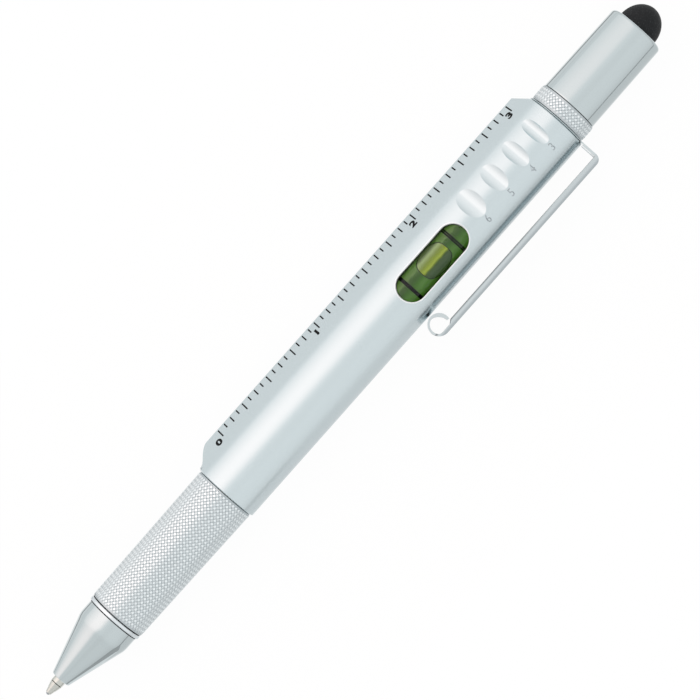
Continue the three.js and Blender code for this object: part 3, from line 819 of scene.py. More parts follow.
@dataclass(frozen=True)
class Knurl:
    """Staggered round beads that cover a turned sleeve."""

    HEIGHT = "bead_height"
    PATTERN = Pattern("bead_knurl", weld=0.02, finish=KNURLED)

    rows: int
    beads: int = 48
    corners: int = 8
    depth: float = 0.12
    drop: float = 0.06
    # How much of its height a low bead keeps for the finish, which paints it darker as shade.
    low_share: float = 0.4
    land: float = 0.2
    shoulder: float = 0.1
    crown: float = 0.58
    crown_height: float = 0.86

    def repeats(self, wiring: Wiring, given: Sockets) -> Socket:
        """Sets a high and a low bead out by turns, round and along the sleeve.

        Args:
            wiring: The pattern's tree.
            given: Its inputs.

        Returns:
            The beads.
        """
        around = given["Beads Round"]
        count = wiring.maths("MULTIPLY", given["Rows"], around)
        line = wiring.out("GeometryNodeMeshLine", {"Count": count, "Offset": (0, 0, 0)})
        index = wiring.out("GeometryNodeInputIndex")
        row = wiring.maths("FLOOR", wiring.maths("DIVIDE", index, around))
        column = wiring.maths("MODULO", index, around)
        odd = wiring.maths("MODULO", row, 2.0)
        stagger = wiring.maths("MULTIPLY", odd, 0.5)
        share = wiring.maths("DIVIDE", wiring.maths("ADD", column, stagger), around)
        angle = wiring.maths("MULTIPLY", share, 2 * math.pi)
        along = wiring.maths("MULTIPLY", row, given["Row Pitch"])
        place = wiring.maths("ADD", along, given["First Row"])
        growth = wiring.maths("ADD", wiring.maths("MULTIPLY", along, given["Growth"]), 1.0)
        points = wiring.out("GeometryNodeSetPosition", {"Geometry": line, "Position": wiring.vector(x=place)})
        height = wiring.out("GeometryNodeInputNamedAttribute", {"Name": self.HEIGHT}, data_type="FLOAT")
        sink = wiring.maths("MULTIPLY", wiring.maths("MULTIPLY", height, given["Drop"]), -1.0)
        sunk = wiring.out("GeometryNodeSetPosition", {
            "Geometry": given["Geometry"], "Offset": wiring.vector(z=sink),
        })
        # The low beads store only part of their height, so the finish paints them darker, as shade.
        low = wiring.out("GeometryNodeStoreNamedAttribute", {
            "Geometry": sunk, "Name": self.HEIGHT, "Value": wiring.maths("MULTIPLY", height, self.low_share),
        }, data_type="FLOAT")
        pair = wiring.node("GeometryNodeJoinGeometry")
        for bead in (given["Geometry"], low):
            wiring.tree.links.new(wiring.out("GeometryNodeGeometryToInstance", {0: bead}), pair.inputs[0])
        return wiring.out("GeometryNodeInstanceOnPoints", {
            "Points": points, "Instance": pair.outputs[0], "Pick Instance": True, "Instance Index": odd,
            "Rotation": wiring.vector(x=angle), "Scale": wiring.vector(x=1.0, y=growth, z=growth),
        })

    def bead(self, radius: float, pitch: float) -> bpy.types.Object:
        """Makes the one bead that the pattern repeats, with its height kept as an attribute.

        Args:
            radius: The sleeve's radius over the beads.
            pitch: The step from row to row.

        Returns:
            The bead, standing on the sleeve's top line.
        """
        angles = [math.radians(360 / self.corners * k) for k in range(self.corners)]
        spots = [(0.0, 0.0, 1.0)]
        spots += [(self.crown * math.cos(a), self.crown * math.sin(a), self.crown_height) for a in angles]
        for k, a in enumerate(angles):
            reach = math.sqrt(0.5) if k % 2 else 1.0
            spots.append((reach * math.cos(a), reach * math.sin(a), 0.0))
        step = math.pi / self.beads
        corners = []
        for u, v, h in spots:
            r = radius - self.depth + self.depth * h
            corners.append((u * pitch, -r * math.sin(v * step), r * math.cos(v * step)))
        rim = 1 + self.corners
        following = [(k, (k + 1) % self.corners) for k in range(self.corners)]
        faces = [(0, 1 + k, 1 + n) for k, n in following]
        faces += [(1 + k, rim + k, rim + n, 1 + n) for k, n in following]
        mesh = bpy.data.meshes.new("bead")
        mesh.from_pydata(corners, [], faces)
        height = mesh.attributes.new(self.HEIGHT, "FLOAT", "POINT")
        height.data.foreach_set("value", [h for _, _, h in spots])
        return linked("bead", mesh)

    def sleeve(self, span: Span, front: float, back: float, bore: float) -> Solid:
        """Makes a whole knurled sleeve, closed at its ends and bore.

        Args:
            span: Where it lies along the pen.
            front: Radius over the beads at its start.
            back: Radius over the beads at its end.
            bore: Radius of the hole through it.

        Returns:
            The sleeve as one closed mesh.
        """
        pitch = (span.length - 2 * self.land) / (self.rows + 1)
        sleeve = self.PATTERN.run(self.bead(front, pitch), self.repeats, {
            "Rows": self.rows, "Beads Round": self.beads, "Row Pitch": pitch, "Drop": self.drop,
            "First Row": span.start + self.land + pitch, "Growth": (back / front - 1) / span.length,
        })
        with edited(sleeve.thing.data) as work:
            self.close(work, span, front, back, bore)
        return sleeve

    def close(self, work: bmesh.types.BMesh, span: Span, front: float, back: float, bore: float) -> None:
        """Runs the beads' open ends down to the end faces and through the bore.

        Args:
            work: The open sleeve.
            span: Where it lies along the pen.
            front: Radius over the beads at its start.
            back: Radius over the beads at its end.
            bore: Radius of the hole through it.
        """
        open_edges = [edge for edge in work.edges if edge.is_boundary]
        ends = (
            ([e for e in open_edges if e.verts[0].co.x < span.middle], span.start, self.shoulder, front),
            ([e for e in open_edges if e.verts[0].co.x >= span.middle], span.end, -self.shoulder, back),
        )
        bores = []
        for loop, face, inward, over in ends:
            radius = over - self.depth
            for x, r in ((face + inward, radius), (face, radius - self.shoulder), (face, bore)):
                grown = bmesh.ops.extrude_edge_only(work, edges=loop)["geom"]
                loop = [item for item in grown if isinstance(item, bmesh.types.BMEdge)]
                for vertex in {v for e in loop for v in e.verts}:
                    scale = r / math.hypot(vertex.co.y, vertex.co.z)
                    vertex.co = (x, vertex.co.y * scale, vertex.co.z * scale)
            bores += loop
        bmesh.ops.bridge_loops(work, edges=bores)
        bmesh.ops.recalc_face_normals(work, faces=work.faces)


@dataclass(frozen=True)
class Barrel:
    """The barrel extrusion: round at the back, ruler fin in front, turned run-outs."""

    radius: float = 6.15
    tip_round: float = 0.1
    tip_steps: int = 6
    round_sides: int = 270
    trim_sides: int = 240
    chamfer: float = 0.2
    front_bore: float = 5.2
    level_bore: float = 4.8
    rear_bore: float = 4.4
    level_bay: float = 34.45
    rear_bay: float = 70.2
    run_out: float = 4.2
    run_out_lift: float = 0.1
    run_out_steps: int = 24
    hollow_length: float = 1.75
    hollow_share: float = 0.35
    hollow_steps: int = 12
    window_place: float = 54.02
    window_length: float = 16.3
    window_width: float = 5.6
    window_rim: float = 0.3
    rim_steps: int = 12
    end_steps: int = 32
    skin: float = 0.004
    sharp: float = 9
    wall_of_number: float = 0.92

    @property
    def fin(self) -> float:
        """The fin's reach from the axis."""
        return self.radius * math.sqrt(2) - self.tip_round * (math.sqrt(2) - 1)

    @property
    def roll(self) -> float:
        """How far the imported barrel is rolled, fin down, in radians."""
        reach = PEN.box("barrel_shell")[1].y - self.tip_round
        return math.acos(reach / (self.fin - self.tip_round))

    @property
    def span(self) -> Span:
        """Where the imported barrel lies."""
        return PEN.span("barrel_shell")

    @property
    def window_middle(self) -> float:
        """Where the window's middle lies along the pen."""
        return self.span.start + self.window_place

    def turn(self) -> Matrix:
        """The turn from an upright barrel to one that lies rolled."""
        return Matrix.Rotation(-self.roll, 4, "X")

    def section(self) -> Profile:
        """The upright barrel's teardrop across the pen, as (y, z) points."""
        back = arc((0, 0), self.radius, 45, 315, self.round_sides)
        return back + arc((self.fin - self.tip_round, 0), self.tip_round, -45, 45, self.tip_steps)

    def trim(self) -> Solid:
        """Turns the envelope that gives the fin its ogee start and hollow end."""
        span = self.span
        low = self.radius + self.run_out_lift
        rise = self.fin - low
        start = span.start + self.chamfer
        hollow = span.end - self.chamfer - self.hollow_length
        clear = self.fin + SPARE
        ogee = [
            (start + self.run_out * t, low + rise * (1 - math.cos(math.pi * t)) / 2)
            for t in shares(self.run_out_steps)
        ]
        fall = [
            (hollow + self.hollow_length * t, low + rise * (1 - t) * (1 - self.hollow_share * t))
            for t in shares(self.hollow_steps)
        ]
        return Solid.turned([
            (span.start, 0), (span.start, self.radius - self.chamfer), *ogee,
            (start + self.run_out, clear), (hollow, clear), *fall,
            (span.end, self.radius - self.chamfer), (span.end, 0),
        ], self.trim_sides)

    def bore(self) -> Solid:
        """Turns the stepped bore's cutter."""
        span = self.span
        first, last = span.start - SPARE, span.end + SPARE
        level, rear = span.start + self.level_bay, span.start + self.rear_bay
        return Solid.turned([
            (first, 0), (first, self.front_bore), (level, self.front_bore), (level, self.level_bore),
            (rear, self.level_bore), (rear, self.rear_bore), (last, self.rear_bore), (last, 0),
        ])

    def window(self) -> Solid:
        """Makes the level window's cutter, square to the fin, that rounds its rim all round.

        Returns:
            The cutter, which widens at the skin and leans with the barrel.
        """
        low, high = PEN.box("level_vial")
        half = self.window_width / 2
        lean = math.tan(self.roll)

        def loop(grow: float, sink: float) -> list[Point]:
            """The outline, so much wider and so far under the skin."""
            middle = (self.window_middle, (low.y + high.y) / 2)
            outline = slotted(middle, self.window_length / 2 - half, half + grow, self.end_steps)
            return [
                (x, y - lean * max(sink, 0), math.sqrt(self.radius ** 2 - y ** 2) - sink) for x, y in outline
            ]

        rim = arc((self.window_rim, self.window_rim), self.window_rim, 180, 270, self.rim_steps)
        loops = [loop(grow, sink) for grow, sink in rim]
        return Solid.lofted([loop(0, self.radius - half), *loops, loop(self.window_rim, -SPARE)])

    def build(self) -> None:
        """Makes and dresses the barrel and its raised numbers."""
        gauge = ScrewGauge()
        body = Solid.drawn(self.section(), self.span.start - SPARE, self.span.end + SPARE, along_pen=True)
        body.moved(self.turn()).meet(self.trim()).cut(self.bore(), self.window(), *gauge.grooves(self)).weld()
        self.bare_window(body.piece(
            "barrel_satin", Body.BARREL, Slot.SATIN_SILVER, SATIN, "barrel_shell", sharp=self.sharp))
        numbers = gauge.numbers(self).piece(
            "gauge_numbers_raised", Body.BARREL, Slot.SATIN_SILVER, SATIN, sharp=self.sharp)
        upright = gauge.upright()
        # The numbers' walls are painted darker, as shade.
        face_finish(numbers, NUMBER_WALL_SHADE, lambda _, normal: normal.dot(upright) < self.wall_of_number)

    def bare_window(self, mesh: Mesh) -> None:
        """Shows bare bright metal on the window's milled rim, and shade on its wall.

        Args:
            mesh: The finished barrel's mesh.
        """
        middle = self.window_middle
        reach = self.window_length / 2 + self.window_rim

        def between(low: float, high: float) -> Choice:
            """Chooses the window's faces between two radii."""
            return lambda spot, _: abs(spot.x - middle) < reach and low < math.hypot(spot.y, spot.z) < high

        wall_top = self.radius - self.window_rim - 2 * TOUCH
        face_finish(mesh, BRIGHT_CUT, between(wall_top, self.radius - self.skin))
        face_finish(mesh, WINDOW_WALL, between(self.level_bore + TOUCH, wall_top))


@dataclass(frozen=True)
class Lettering:
    """The size of a run of digits: tall along Y, wide along X, thick along Z, bolder by the weight."""

    height: float
    width: float
    thickness: float
    weight: float
    slope: float = 0
    nought_share: float = 0.56
    flat_depth: float = 0.5
    curve_steps: int = 5

    def digit(self, number: int) -> Solid:
        """Draws one upright digit as a thin solid, centred on the origin, whose walls lean by the slope.

        Args:
            number: The digit.

        Returns:
            The digit.
        """
        curve = bpy.data.curves.new("digit", "FONT")
        curve.body = str(number)
        curve.offset = self.weight
        curve.extrude = 0 if self.slope else self.flat_depth
        curve.bevel_depth = self.slope
        curve.bevel_resolution = 0
        curve.resolution_u = self.curve_steps
        drawn = Solid.holding(linked("digit", curve))
        mesh = drawn.evaluated()
        bpy.data.objects.remove(drawn.thing)
        bpy.data.curves.remove(curve)
        low, high = (Vector([pick(v.co[k] for v in mesh.vertices) for k in range(3)]) for pick in (min, max))
        across = self.height / (high.y - low.y)
        size = Matrix.Diagonal((self.width / self.nought_share, across, self.thickness / (high.z - low.z), 1))
        mesh.transform(size @ Matrix.Translation(-(low + high) / 2))
        solid = Solid([tuple(v.co) for v in mesh.vertices], [tuple(p.vertices) for p in mesh.polygons])
        bpy.data.meshes.remove(mesh)
        return solid


@dataclass(frozen=True)
class ScrewGauge:
    """Four leaning grooves that size screws, each with its number beside it."""

    sizes: tuple[int, ...] = (6, 5, 4, 3)
    places: tuple[float, ...] = (20.83, 14.78, 9.23, 4.09)
    depths: tuple[float, ...] = (0.78, 0.72, 0.72, 0.74)
    lean: float = 15
    facets: int = 120
    rise: float = 0.09
    slope: float = 0.055
    turn: float = 23.5

    def grooves(self, barrel: Barrel) -> list[Solid]:
        """Makes a cutter for each groove.

        Args:
            barrel: The barrel.

        Returns:
            The cutters, in place on the barrel.
        """
        made = []
        for size, place, depth in zip(self.sizes, self.places, self.depths):
            half = size / 2
            outline = arc((0, 0), half, 0, 360 - 360 / self.facets, self.facets - 1)
            lift = Matrix.Translation((barrel.span.end - place, 0, barrel.radius + half - depth))
            groove = Solid.drawn(outline, -barrel.radius - SPARE, barrel.radius + SPARE)
            made.append(groove.moved(rolled(-self.lean) @ lift @ rolled(90)))
        return made

    def upright(self) -> Vector:
        """The way out of the skin at the numbers."""
        turn = math.radians(self.turn)
        return Vector((0, -math.sin(turn), math.cos(turn)))

    def numbers(self, barrel: Barrel) -> Solid:
        """Raises each groove's number off the skin beside it.

        Args:
            barrel: The barrel.

        Returns:
            All the numbers, bent round the barrel.
        """
        lettering = Lettering(
            height=1.65, width=1.0, thickness=2 * self.rise, weight=-self.slope, slope=self.slope)
        made = []
        for size, place in zip(self.sizes, self.places):
            mark = lettering.digit(size)
            for corner in mark.thing.data.vertices:
                corner.co.z += math.sqrt(barrel.radius ** 2 - corner.co.y ** 2)
            made.append(mark.moved(rolled(self.turn) @ Matrix.Translation((barrel.span.end - place, 0, 0))))
        return Solid.gathered(made)


@dataclass(frozen=True)
class RulerScale:
    """A printed scale on one face of the fin: ticks from the edge, numbers behind them."""

    PATTERN = Pattern("ruler_ticks", weld=1e-5, finish=BLACK_PRINT)

    name: str
    side: Side
    zero: float
    step: float
    ticks: int
    long_every: int
    middle_every: int
    number_every: int
    tick_width: float = 0.27
    long_tick: float = 2.5
    middle_tick: float = 2.0
    short_tick: float = 1.55
    edge: float = 0.45
    ink: float = 0.02
    number_depth: float = 3.24
    number_lead: float = 0.9
    nought_lead: float = 1.3

    def repeats(self, wiring: Wiring, given: Sockets) -> Socket:
        """Sets the ticks out along the edge.

        Args:
            wiring: The pattern's tree.
            given: Its inputs.

        Returns:
            The ticks.
        """
        line = wiring.out("GeometryNodeMeshLine", {
            "Count": given["Ticks"], "Offset": wiring.vector(x=given["Step"]),
        })
        index = wiring.out("GeometryNodeInputIndex")
        reach = given["Short"]
        for kind in ("Middle", "Long"):
            left = wiring.maths("MODULO", index, given[f"{kind} Every"])
            reach = wiring.out("GeometryNodeSwitch", {
                "Switch": wiring.maths("LESS_THAN", left, 0.5), "False": reach, "True": given[kind],
            }, input_type="FLOAT")
        block = wiring.out("GeometryNodeMeshCube", {"Size": (1, 1, 1)})
        block = wiring.out("GeometryNodeTransform", {"Geometry": block, "Translation": (0, 0.5, 0)})
        size = wiring.vector(x=given["Width"], y=reach, z=given["Ink"])
        return wiring.out("GeometryNodeInstanceOnPoints", {"Points": line, "Instance": block, "Scale": size})

    def plan(self, barrel: Barrel) -> Matrix:
        """The step from the flat print, read upright, to this face of the fin.

        Args:
            barrel: The barrel that carries the print.

        Returns:
            A matrix that takes (along, depth from the edge, out of the face) to the pen.
        """
        slope = math.sqrt(0.5)
        up = self.side.value
        return barrel.turn() @ Matrix((
            (up, 0, 0, self.zero),
            (0, -slope, slope, barrel.radius * math.sqrt(2)),
            (0, up * slope, up * slope, 0),
            (0, 0, 0, 1),
        ))

    def build(self, barrel: Barrel) -> None:
        """Prints the ticks and the numbers as one thin piece.

        Args:
            barrel: The barrel that carries the print.
        """
        start = linked("ticks", bpy.data.meshes.new("ticks"))
        ticks = self.PATTERN.run(start, self.repeats, {
            "Ticks": self.ticks, "Step": self.step, "Width": self.tick_width, "Ink": self.ink,
            "Long Every": self.long_every, "Middle Every": self.middle_every,
            "Long": self.long_tick, "Middle": self.middle_tick, "Short": self.short_tick,
        })
        marks = [ticks.moved(Matrix.Translation((0, self.edge, 0)))]
        lettering = Lettering(height=1.93, width=1.4, thickness=self.ink, weight=0.05)
        flip = Matrix.Diagonal((1, -1, 1, 1))
        for k in range(0, self.ticks, self.number_every):
            lead = self.number_lead if k else self.nought_lead
            mark = lettering.digit(k // self.number_every)
            marks.append(mark.moved(Matrix.Translation((k * self.step - lead, self.number_depth, 0)) @ flip))
        Solid.gathered(marks).moved(self.plan(barrel)).piece(
            self.name, Body.BARREL, Slot.BLACK_PLASTIC, BLACK_PRINT)


@dataclass(frozen=True)
class WritingEnd:
    """Nose cone and knurled grip sleeve."""

    face_radius: float = 1.82
    mouth_radius: float = 1.3
    mouth_length: float = 3
    mouth_chamfer: float = 0.15
    edge: float = 0.12
    knee: float = 10.22
    knee_radius: float = 4.9
    cone_steps: int = 6
    bend_length: float = 1.6
    bend_steps: int = 8
    flange: float = 0.72
    flange_radius: float = 5.49
    flange_round: float = 0.16
    round_foot: float = 0.05
    round_head: float = 0.06
    groove: float = 0.17
    groove_depth: float = 0.35
    cone_radius: float = 5.18
    spigot_radius: float = 4.35
    spigot_bore: float = 3.45
    spigot_chamfer: float = 0.2
    grip_gap: float = 0.1
    grip_rows: int = 70
    grip_bore: float = 4.5
    grip_growth: float = 0.25
    grip_shade: float = 0.11

    def nose(self) -> None:
        """Turns the chromed nose cone with its flange."""
        node = PEN.span("nose_cone")
        start = node.start
        back = PEN.span("grip_sleeve").start - self.grip_gap
        knee = start + self.knee
        ring = back - self.flange
        floor = self.cone_radius - self.groove_depth
        slope = (self.knee_radius - self.face_radius) / self.knee
        rows = [self.edge + (self.knee - self.edge) * t for t in shares(self.cone_steps)[:-1]]
        rise = self.cone_radius - self.knee_radius
        nose = Solid.turned([
            (start + self.mouth_chamfer, self.mouth_radius), (start, self.mouth_radius + self.edge),
            (start, self.face_radius - self.edge), *((start + x, self.face_radius + slope * x) for x in rows),
            *((knee + self.bend_length * t, self.knee_radius + rise * (2 * t - t * t))
              for t in shares(self.bend_steps)),
            (ring - self.groove, self.cone_radius), (ring - self.groove, floor), (ring, floor),
            (ring, self.flange_radius - self.flange_round),
            (ring + self.round_foot, self.flange_radius - self.round_head),
            (ring + self.flange_round, self.flange_radius),
            (back - self.edge, self.flange_radius), (back, self.flange_radius - self.edge),
            (back, self.spigot_radius), (node.end - self.spigot_chamfer, self.spigot_radius),
            (node.end, self.spigot_radius - self.spigot_chamfer), (node.end, self.spigot_bore),
            (knee, self.spigot_bore), (start + self.mouth_length, self.mouth_radius),
            (start + self.mouth_chamfer, self.mouth_radius),
        ]).piece("nose_cone_chromed", Body.WRITING_END, Slot.BRIGHT_CHROME, CHROME, "nose_cone")
        face_finish(nose, SHADED_GAP, lambda spot, _: (
            ring - self.groove - TOUCH < spot.x < ring + TOUCH
            and floor - TOUCH < math.hypot(spot.y, spot.z) < self.cone_radius - TOUCH / 2))
        face_finish(nose, FLANGE_CUT, lambda spot, _: (
            ring - TOUCH < spot.x < back + TOUCH
            and math.hypot(spot.y, spot.z) > self.cone_radius + TOUCH))

    def grip(self) -> None:
        """Knurls the grip sleeve."""
        span = PEN.span("grip_sleeve")
        sleeve = Knurl(self.grip_rows).sleeve(
            span, span.radius - self.grip_growth, span.radius, self.grip_bore)
        grip = sleeve.piece(
            "grip_sleeve_knurled", Body.WRITING_END, Slot.KNURLED_METAL, KNURLED, "grip_sleeve")
        face_finish(grip, SHADED_GAP, lambda spot, _: spot.x < span.start + self.grip_shade)

    def build(self) -> None:
        """Makes both pieces."""
        self.nose()
        self.grip()


@dataclass(frozen=True)
class Refill:
    """The refill's ball, metal point and tube."""

    radius: float = 1.15
    wall: float = 0.25
    ball: float = 0.4
    ball_gap: float = 0.05
    lip: float = 0.03
    rim: float = 0.53
    rim_chamfer: float = 0.02
    shoulder: float = 0.9
    shoulder_rise: float = 0.24
    edge: float = 0.05
    cone_gap: float = 0.1
    channel_wall: float = 0.5
    ball_sides: int = 32
    sides: int = 48

    def build(self) -> None:
        """Makes the three pieces that show at the nose."""
        ball, point, barrel = (PEN.span(node) for node in ("writing_ball", "refill_tip", "refill_tube"))
        Solid.turned(arc((ball.middle, 0), ball.radius, 180, 0, self.ball_sides // 2), self.ball_sides).piece(
            "writing_ball_polished", Body.REFILL, Slot.STEEL, STEEL, "writing_ball")
        cone_end = barrel.start - self.cone_gap
        neck = self.radius - self.wall - self.cone_gap
        channel = neck - self.channel_wall
        seat = self.ball + self.ball_gap
        brow = point.start + self.shoulder
        Solid.turned([
            (point.start + self.lip, seat), (point.start, seat + self.lip),
            (point.start + self.rim_chamfer, self.rim), (brow, self.rim + self.shoulder_rise),
            (brow + self.edge, self.rim + self.shoulder_rise + self.edge), (cone_end, self.radius),
            (barrel.start, neck), (point.end, neck), (point.end, channel),
            (ball.end + self.ball_gap, channel), (ball.end + self.ball_gap, seat),
            (point.start + self.lip, seat),
        ], self.sides).piece("refill_point_nickel", Body.REFILL, Slot.REFILL_METAL, NICKEL, "refill_tip")
        Solid.turned(tube(barrel, self.radius - self.wall, self.edge), self.sides).piece(
            "refill_tube_nickel", Body.REFILL, Slot.REFILL_METAL, NICKEL, "refill_tube")


@dataclass(frozen=True)
class Level:
    """The spirit level: clear vial, dyed fluid with its bubble, both with painted light and shade, and two
    ring marks.
    """

    wall: float = 0.5
    edge: float = 0.2
    sides: int = 96
    bubble_length: float = 6.5
    bubble_width: float = 4.8
    bubble_shift: float = 0.45
    bubble_corner: float = 0.7
    bubble_depth_share: float = 0.8
    bubble_gap: float = 0.13
    bubble_sides: int = 64
    skin: float = 0.03
    line: float = 0.31
    line_gap: float = 0.06
    line_rise: float = 0.04
    line_edge: float = 0.02
    lens_radius: float = 3.0
    lens_top: float = 5.85
    lens_gap: float = 0.1
    lens_steps: int = 24
    crown_sides: int = 144

    @property
    def vial(self) -> Span:
        """Where the vial lies."""
        return PEN.span("level_vial")

    @property
    def fluid_radius(self) -> float:
        """The fluid's radius."""
        return self.vial.radius - self.wall - self.skin

    @property
    def lift(self) -> Matrix:
        """The step from the pen's axis to the vial's."""
        low, high = PEN.box("level_vial")
        return Matrix.Translation((0, (low.y + high.y) / 2, (low.z + high.z) / 2))

    def lens(self, barrel: Barrel) -> Solid:
        """Makes the vial's clear lens that fills the window up to just under the skin.

        Args:
            barrel: The barrel whose window it fills.

        Returns:
            The lens, in place on the pen.
        """
        middle = barrel.window_middle
        half = barrel.window_width / 2
        _, across, up = self.lift.translation
        outline = slotted(
            (middle, across), barrel.window_length / 2 - half, half - self.lens_gap, self.lens_steps)
        lean = Matrix.Shear("XY", 4, (0, 0))
        lean[1][2] = math.tan(barrel.roll)
        lean[1][3] = -lean[1][2] * barrel.radius
        pad = Solid.drawn(outline, up + self.lens_radius / 2, barrel.radius).moved(lean)
        crown = Solid.rod(middle - barrel.window_length, middle + barrel.window_length,
                          self.lens_radius, self.crown_sides)
        return pad.meet(crown.moved(Matrix.Translation((0, across, self.lens_top - self.lens_radius))))

    def build(self, barrel: Barrel) -> None:
        """Makes the vial and what is in and on it.

        Args:
            barrel: The barrel whose window shows it.
        """
        vial, lift, radius = self.vial, self.lift, self.fluid_radius
        inner = radius + self.skin
        glass = Solid.turned(tube(vial, inner, self.edge), self.sides).moved(lift)
        bore = Solid.rod(vial.start, vial.end, inner, self.sides).moved(lift)
        glass.join(self.lens(barrel)).cut(bore).weld().piece(
            "vial_clear", Body.BARREL, Slot.CLEAR_ACRYLIC, ACRYLIC, "level_vial")
        fluid = PEN.span("vial_fluid")
        body = Solid.rod(fluid.start, fluid.end, radius, self.sides).cut(self.bubble(0)).weld()
        # The fluid's colour is painted shade, sheen and glow over its green.
        painted_fluid = body.moved(lift).piece("vial_fluid_green", Body.BARREL, Slot.GREEN_FLUID, FLUID_PAINTED_LIGHT, "vial_fluid")
        spread = self.bubble_length / 2 + self.bubble_gap
        _, across, up = lift.translation
        face_finish(painted_fluid, FLUID_SHADE, lambda spot, _: (
            abs(spot.x - vial.middle - self.bubble_shift) < spread
            and math.hypot(spot.y - across, spot.z - up) < radius - 2 * TOUCH))
        # The bubble piece wears painted highlight and shade.
        crown = Solid.rod(vial.start, vial.end, radius, self.sides).meet(self.bubble(self.bubble_gap))
        crown.weld().moved(lift).piece("vial_bubble", Body.BARREL, Slot.GREEN_FLUID, BUBBLE_PAINTED_LIGHT)
        reach = self.line + self.line_gap / 2
        self.ring("front", (-reach, reach))
        self.ring("rear", (-reach, self.line - reach), (reach - self.line, reach))

    def ring(self, end: str, *lines: tuple[float, float]) -> None:
        """Paints one ring mark round the vial.

        Args:
            end: Which mark.
            *lines: Each line's start and end, from the mark's middle.
        """
        middle = PEN.span(f"vial_mark_{end}").middle
        radius = self.vial.radius
        spans = [Span(middle + start, middle + stop, radius + self.line_rise) for start, stop in lines]
        Solid.gathered([
            Solid.turned(tube(span, radius - self.line_edge, self.line_edge), self.sides) for span in spans
        ]).moved(self.lift).piece(
            f"vial_ring_{end}", Body.BARREL, Slot.BLACK_PLASTIC, BLACK_PRINT, f"vial_mark_{end}")

    def bubble(self, gap: float) -> Solid:
        """Makes the blunt bubble that lies under the top of the vial.

        Args:
            gap: How much smaller than its hollow it is all round.

        Returns:
            The whole bubble, of which the part above the fluid's skin is spare.
        """
        middle = self.vial.middle + self.bubble_shift
        half = self.bubble_length / 2 - gap
        deep = self.fluid_radius * self.bubble_depth_share - gap
        squash = Matrix.Diagonal((1, self.bubble_width / 2 - gap, deep, 1))
        outline = arc((0, 0), 1, 180, 0, self.bubble_sides // 2)
        profile = [(middle + half * x, r ** self.bubble_corner) for x, r in outline]
        lift = Matrix.Translation((0, 0, self.fluid_radius))
        return Solid.turned(profile, self.bubble_sides).moved(lift @ squash)


@dataclass(frozen=True)
class RearEnd:
    """Collar and clip ring at the barrel's stylus end."""

    collar_rows: int = 6
    collar_land: float = 0.22
    collar_shoulder: float = 0.08
    bore: float = 4.4
    clip_width: float = 4.4
    tab_end: float = 6.33
    tab_start: float = 5.65
    ring_cut: float = 0.2
    ring_edge: float = 0.08

    def collar(self) -> None:
        """Knurls the collar."""
        node = PEN.span("knurled_collar")
        span = Span(node.start - self.ring_cut, node.end, node.radius)
        knurl = Knurl(self.collar_rows, land=self.collar_land, shoulder=self.collar_shoulder)
        knurl.sleeve(span, span.radius, span.radius, self.bore).piece(
            "collar_knurled", Body.BARREL, Slot.KNURLED_METAL, KNURLED, "knurled_collar")

    def ring(self) -> None:
        """Turns the thin bright ring with the tab that carries the clip."""
        low, high = PEN.box("clip_ring")
        start, end = low.x, high.x - self.ring_cut
        washer = Solid.turned(tube(Span(start, end, (high.z - low.z) / 2), self.bore, self.ring_edge))
        half = self.clip_width / 2
        tab = Solid.drawn([
            (-self.tab_start, -half), (-self.tab_start, half), (-self.tab_end, half), (-self.tab_end, -half),
        ], start, end, along_pen=True)
        washer.join(tab).piece("clip_ring_bright", Body.BARREL, Slot.BRIGHT_CHROME, CHROME, "clip_ring")

    def build(self) -> None:
        """Makes the collar and the ring."""
        self.collar()
        self.ring()


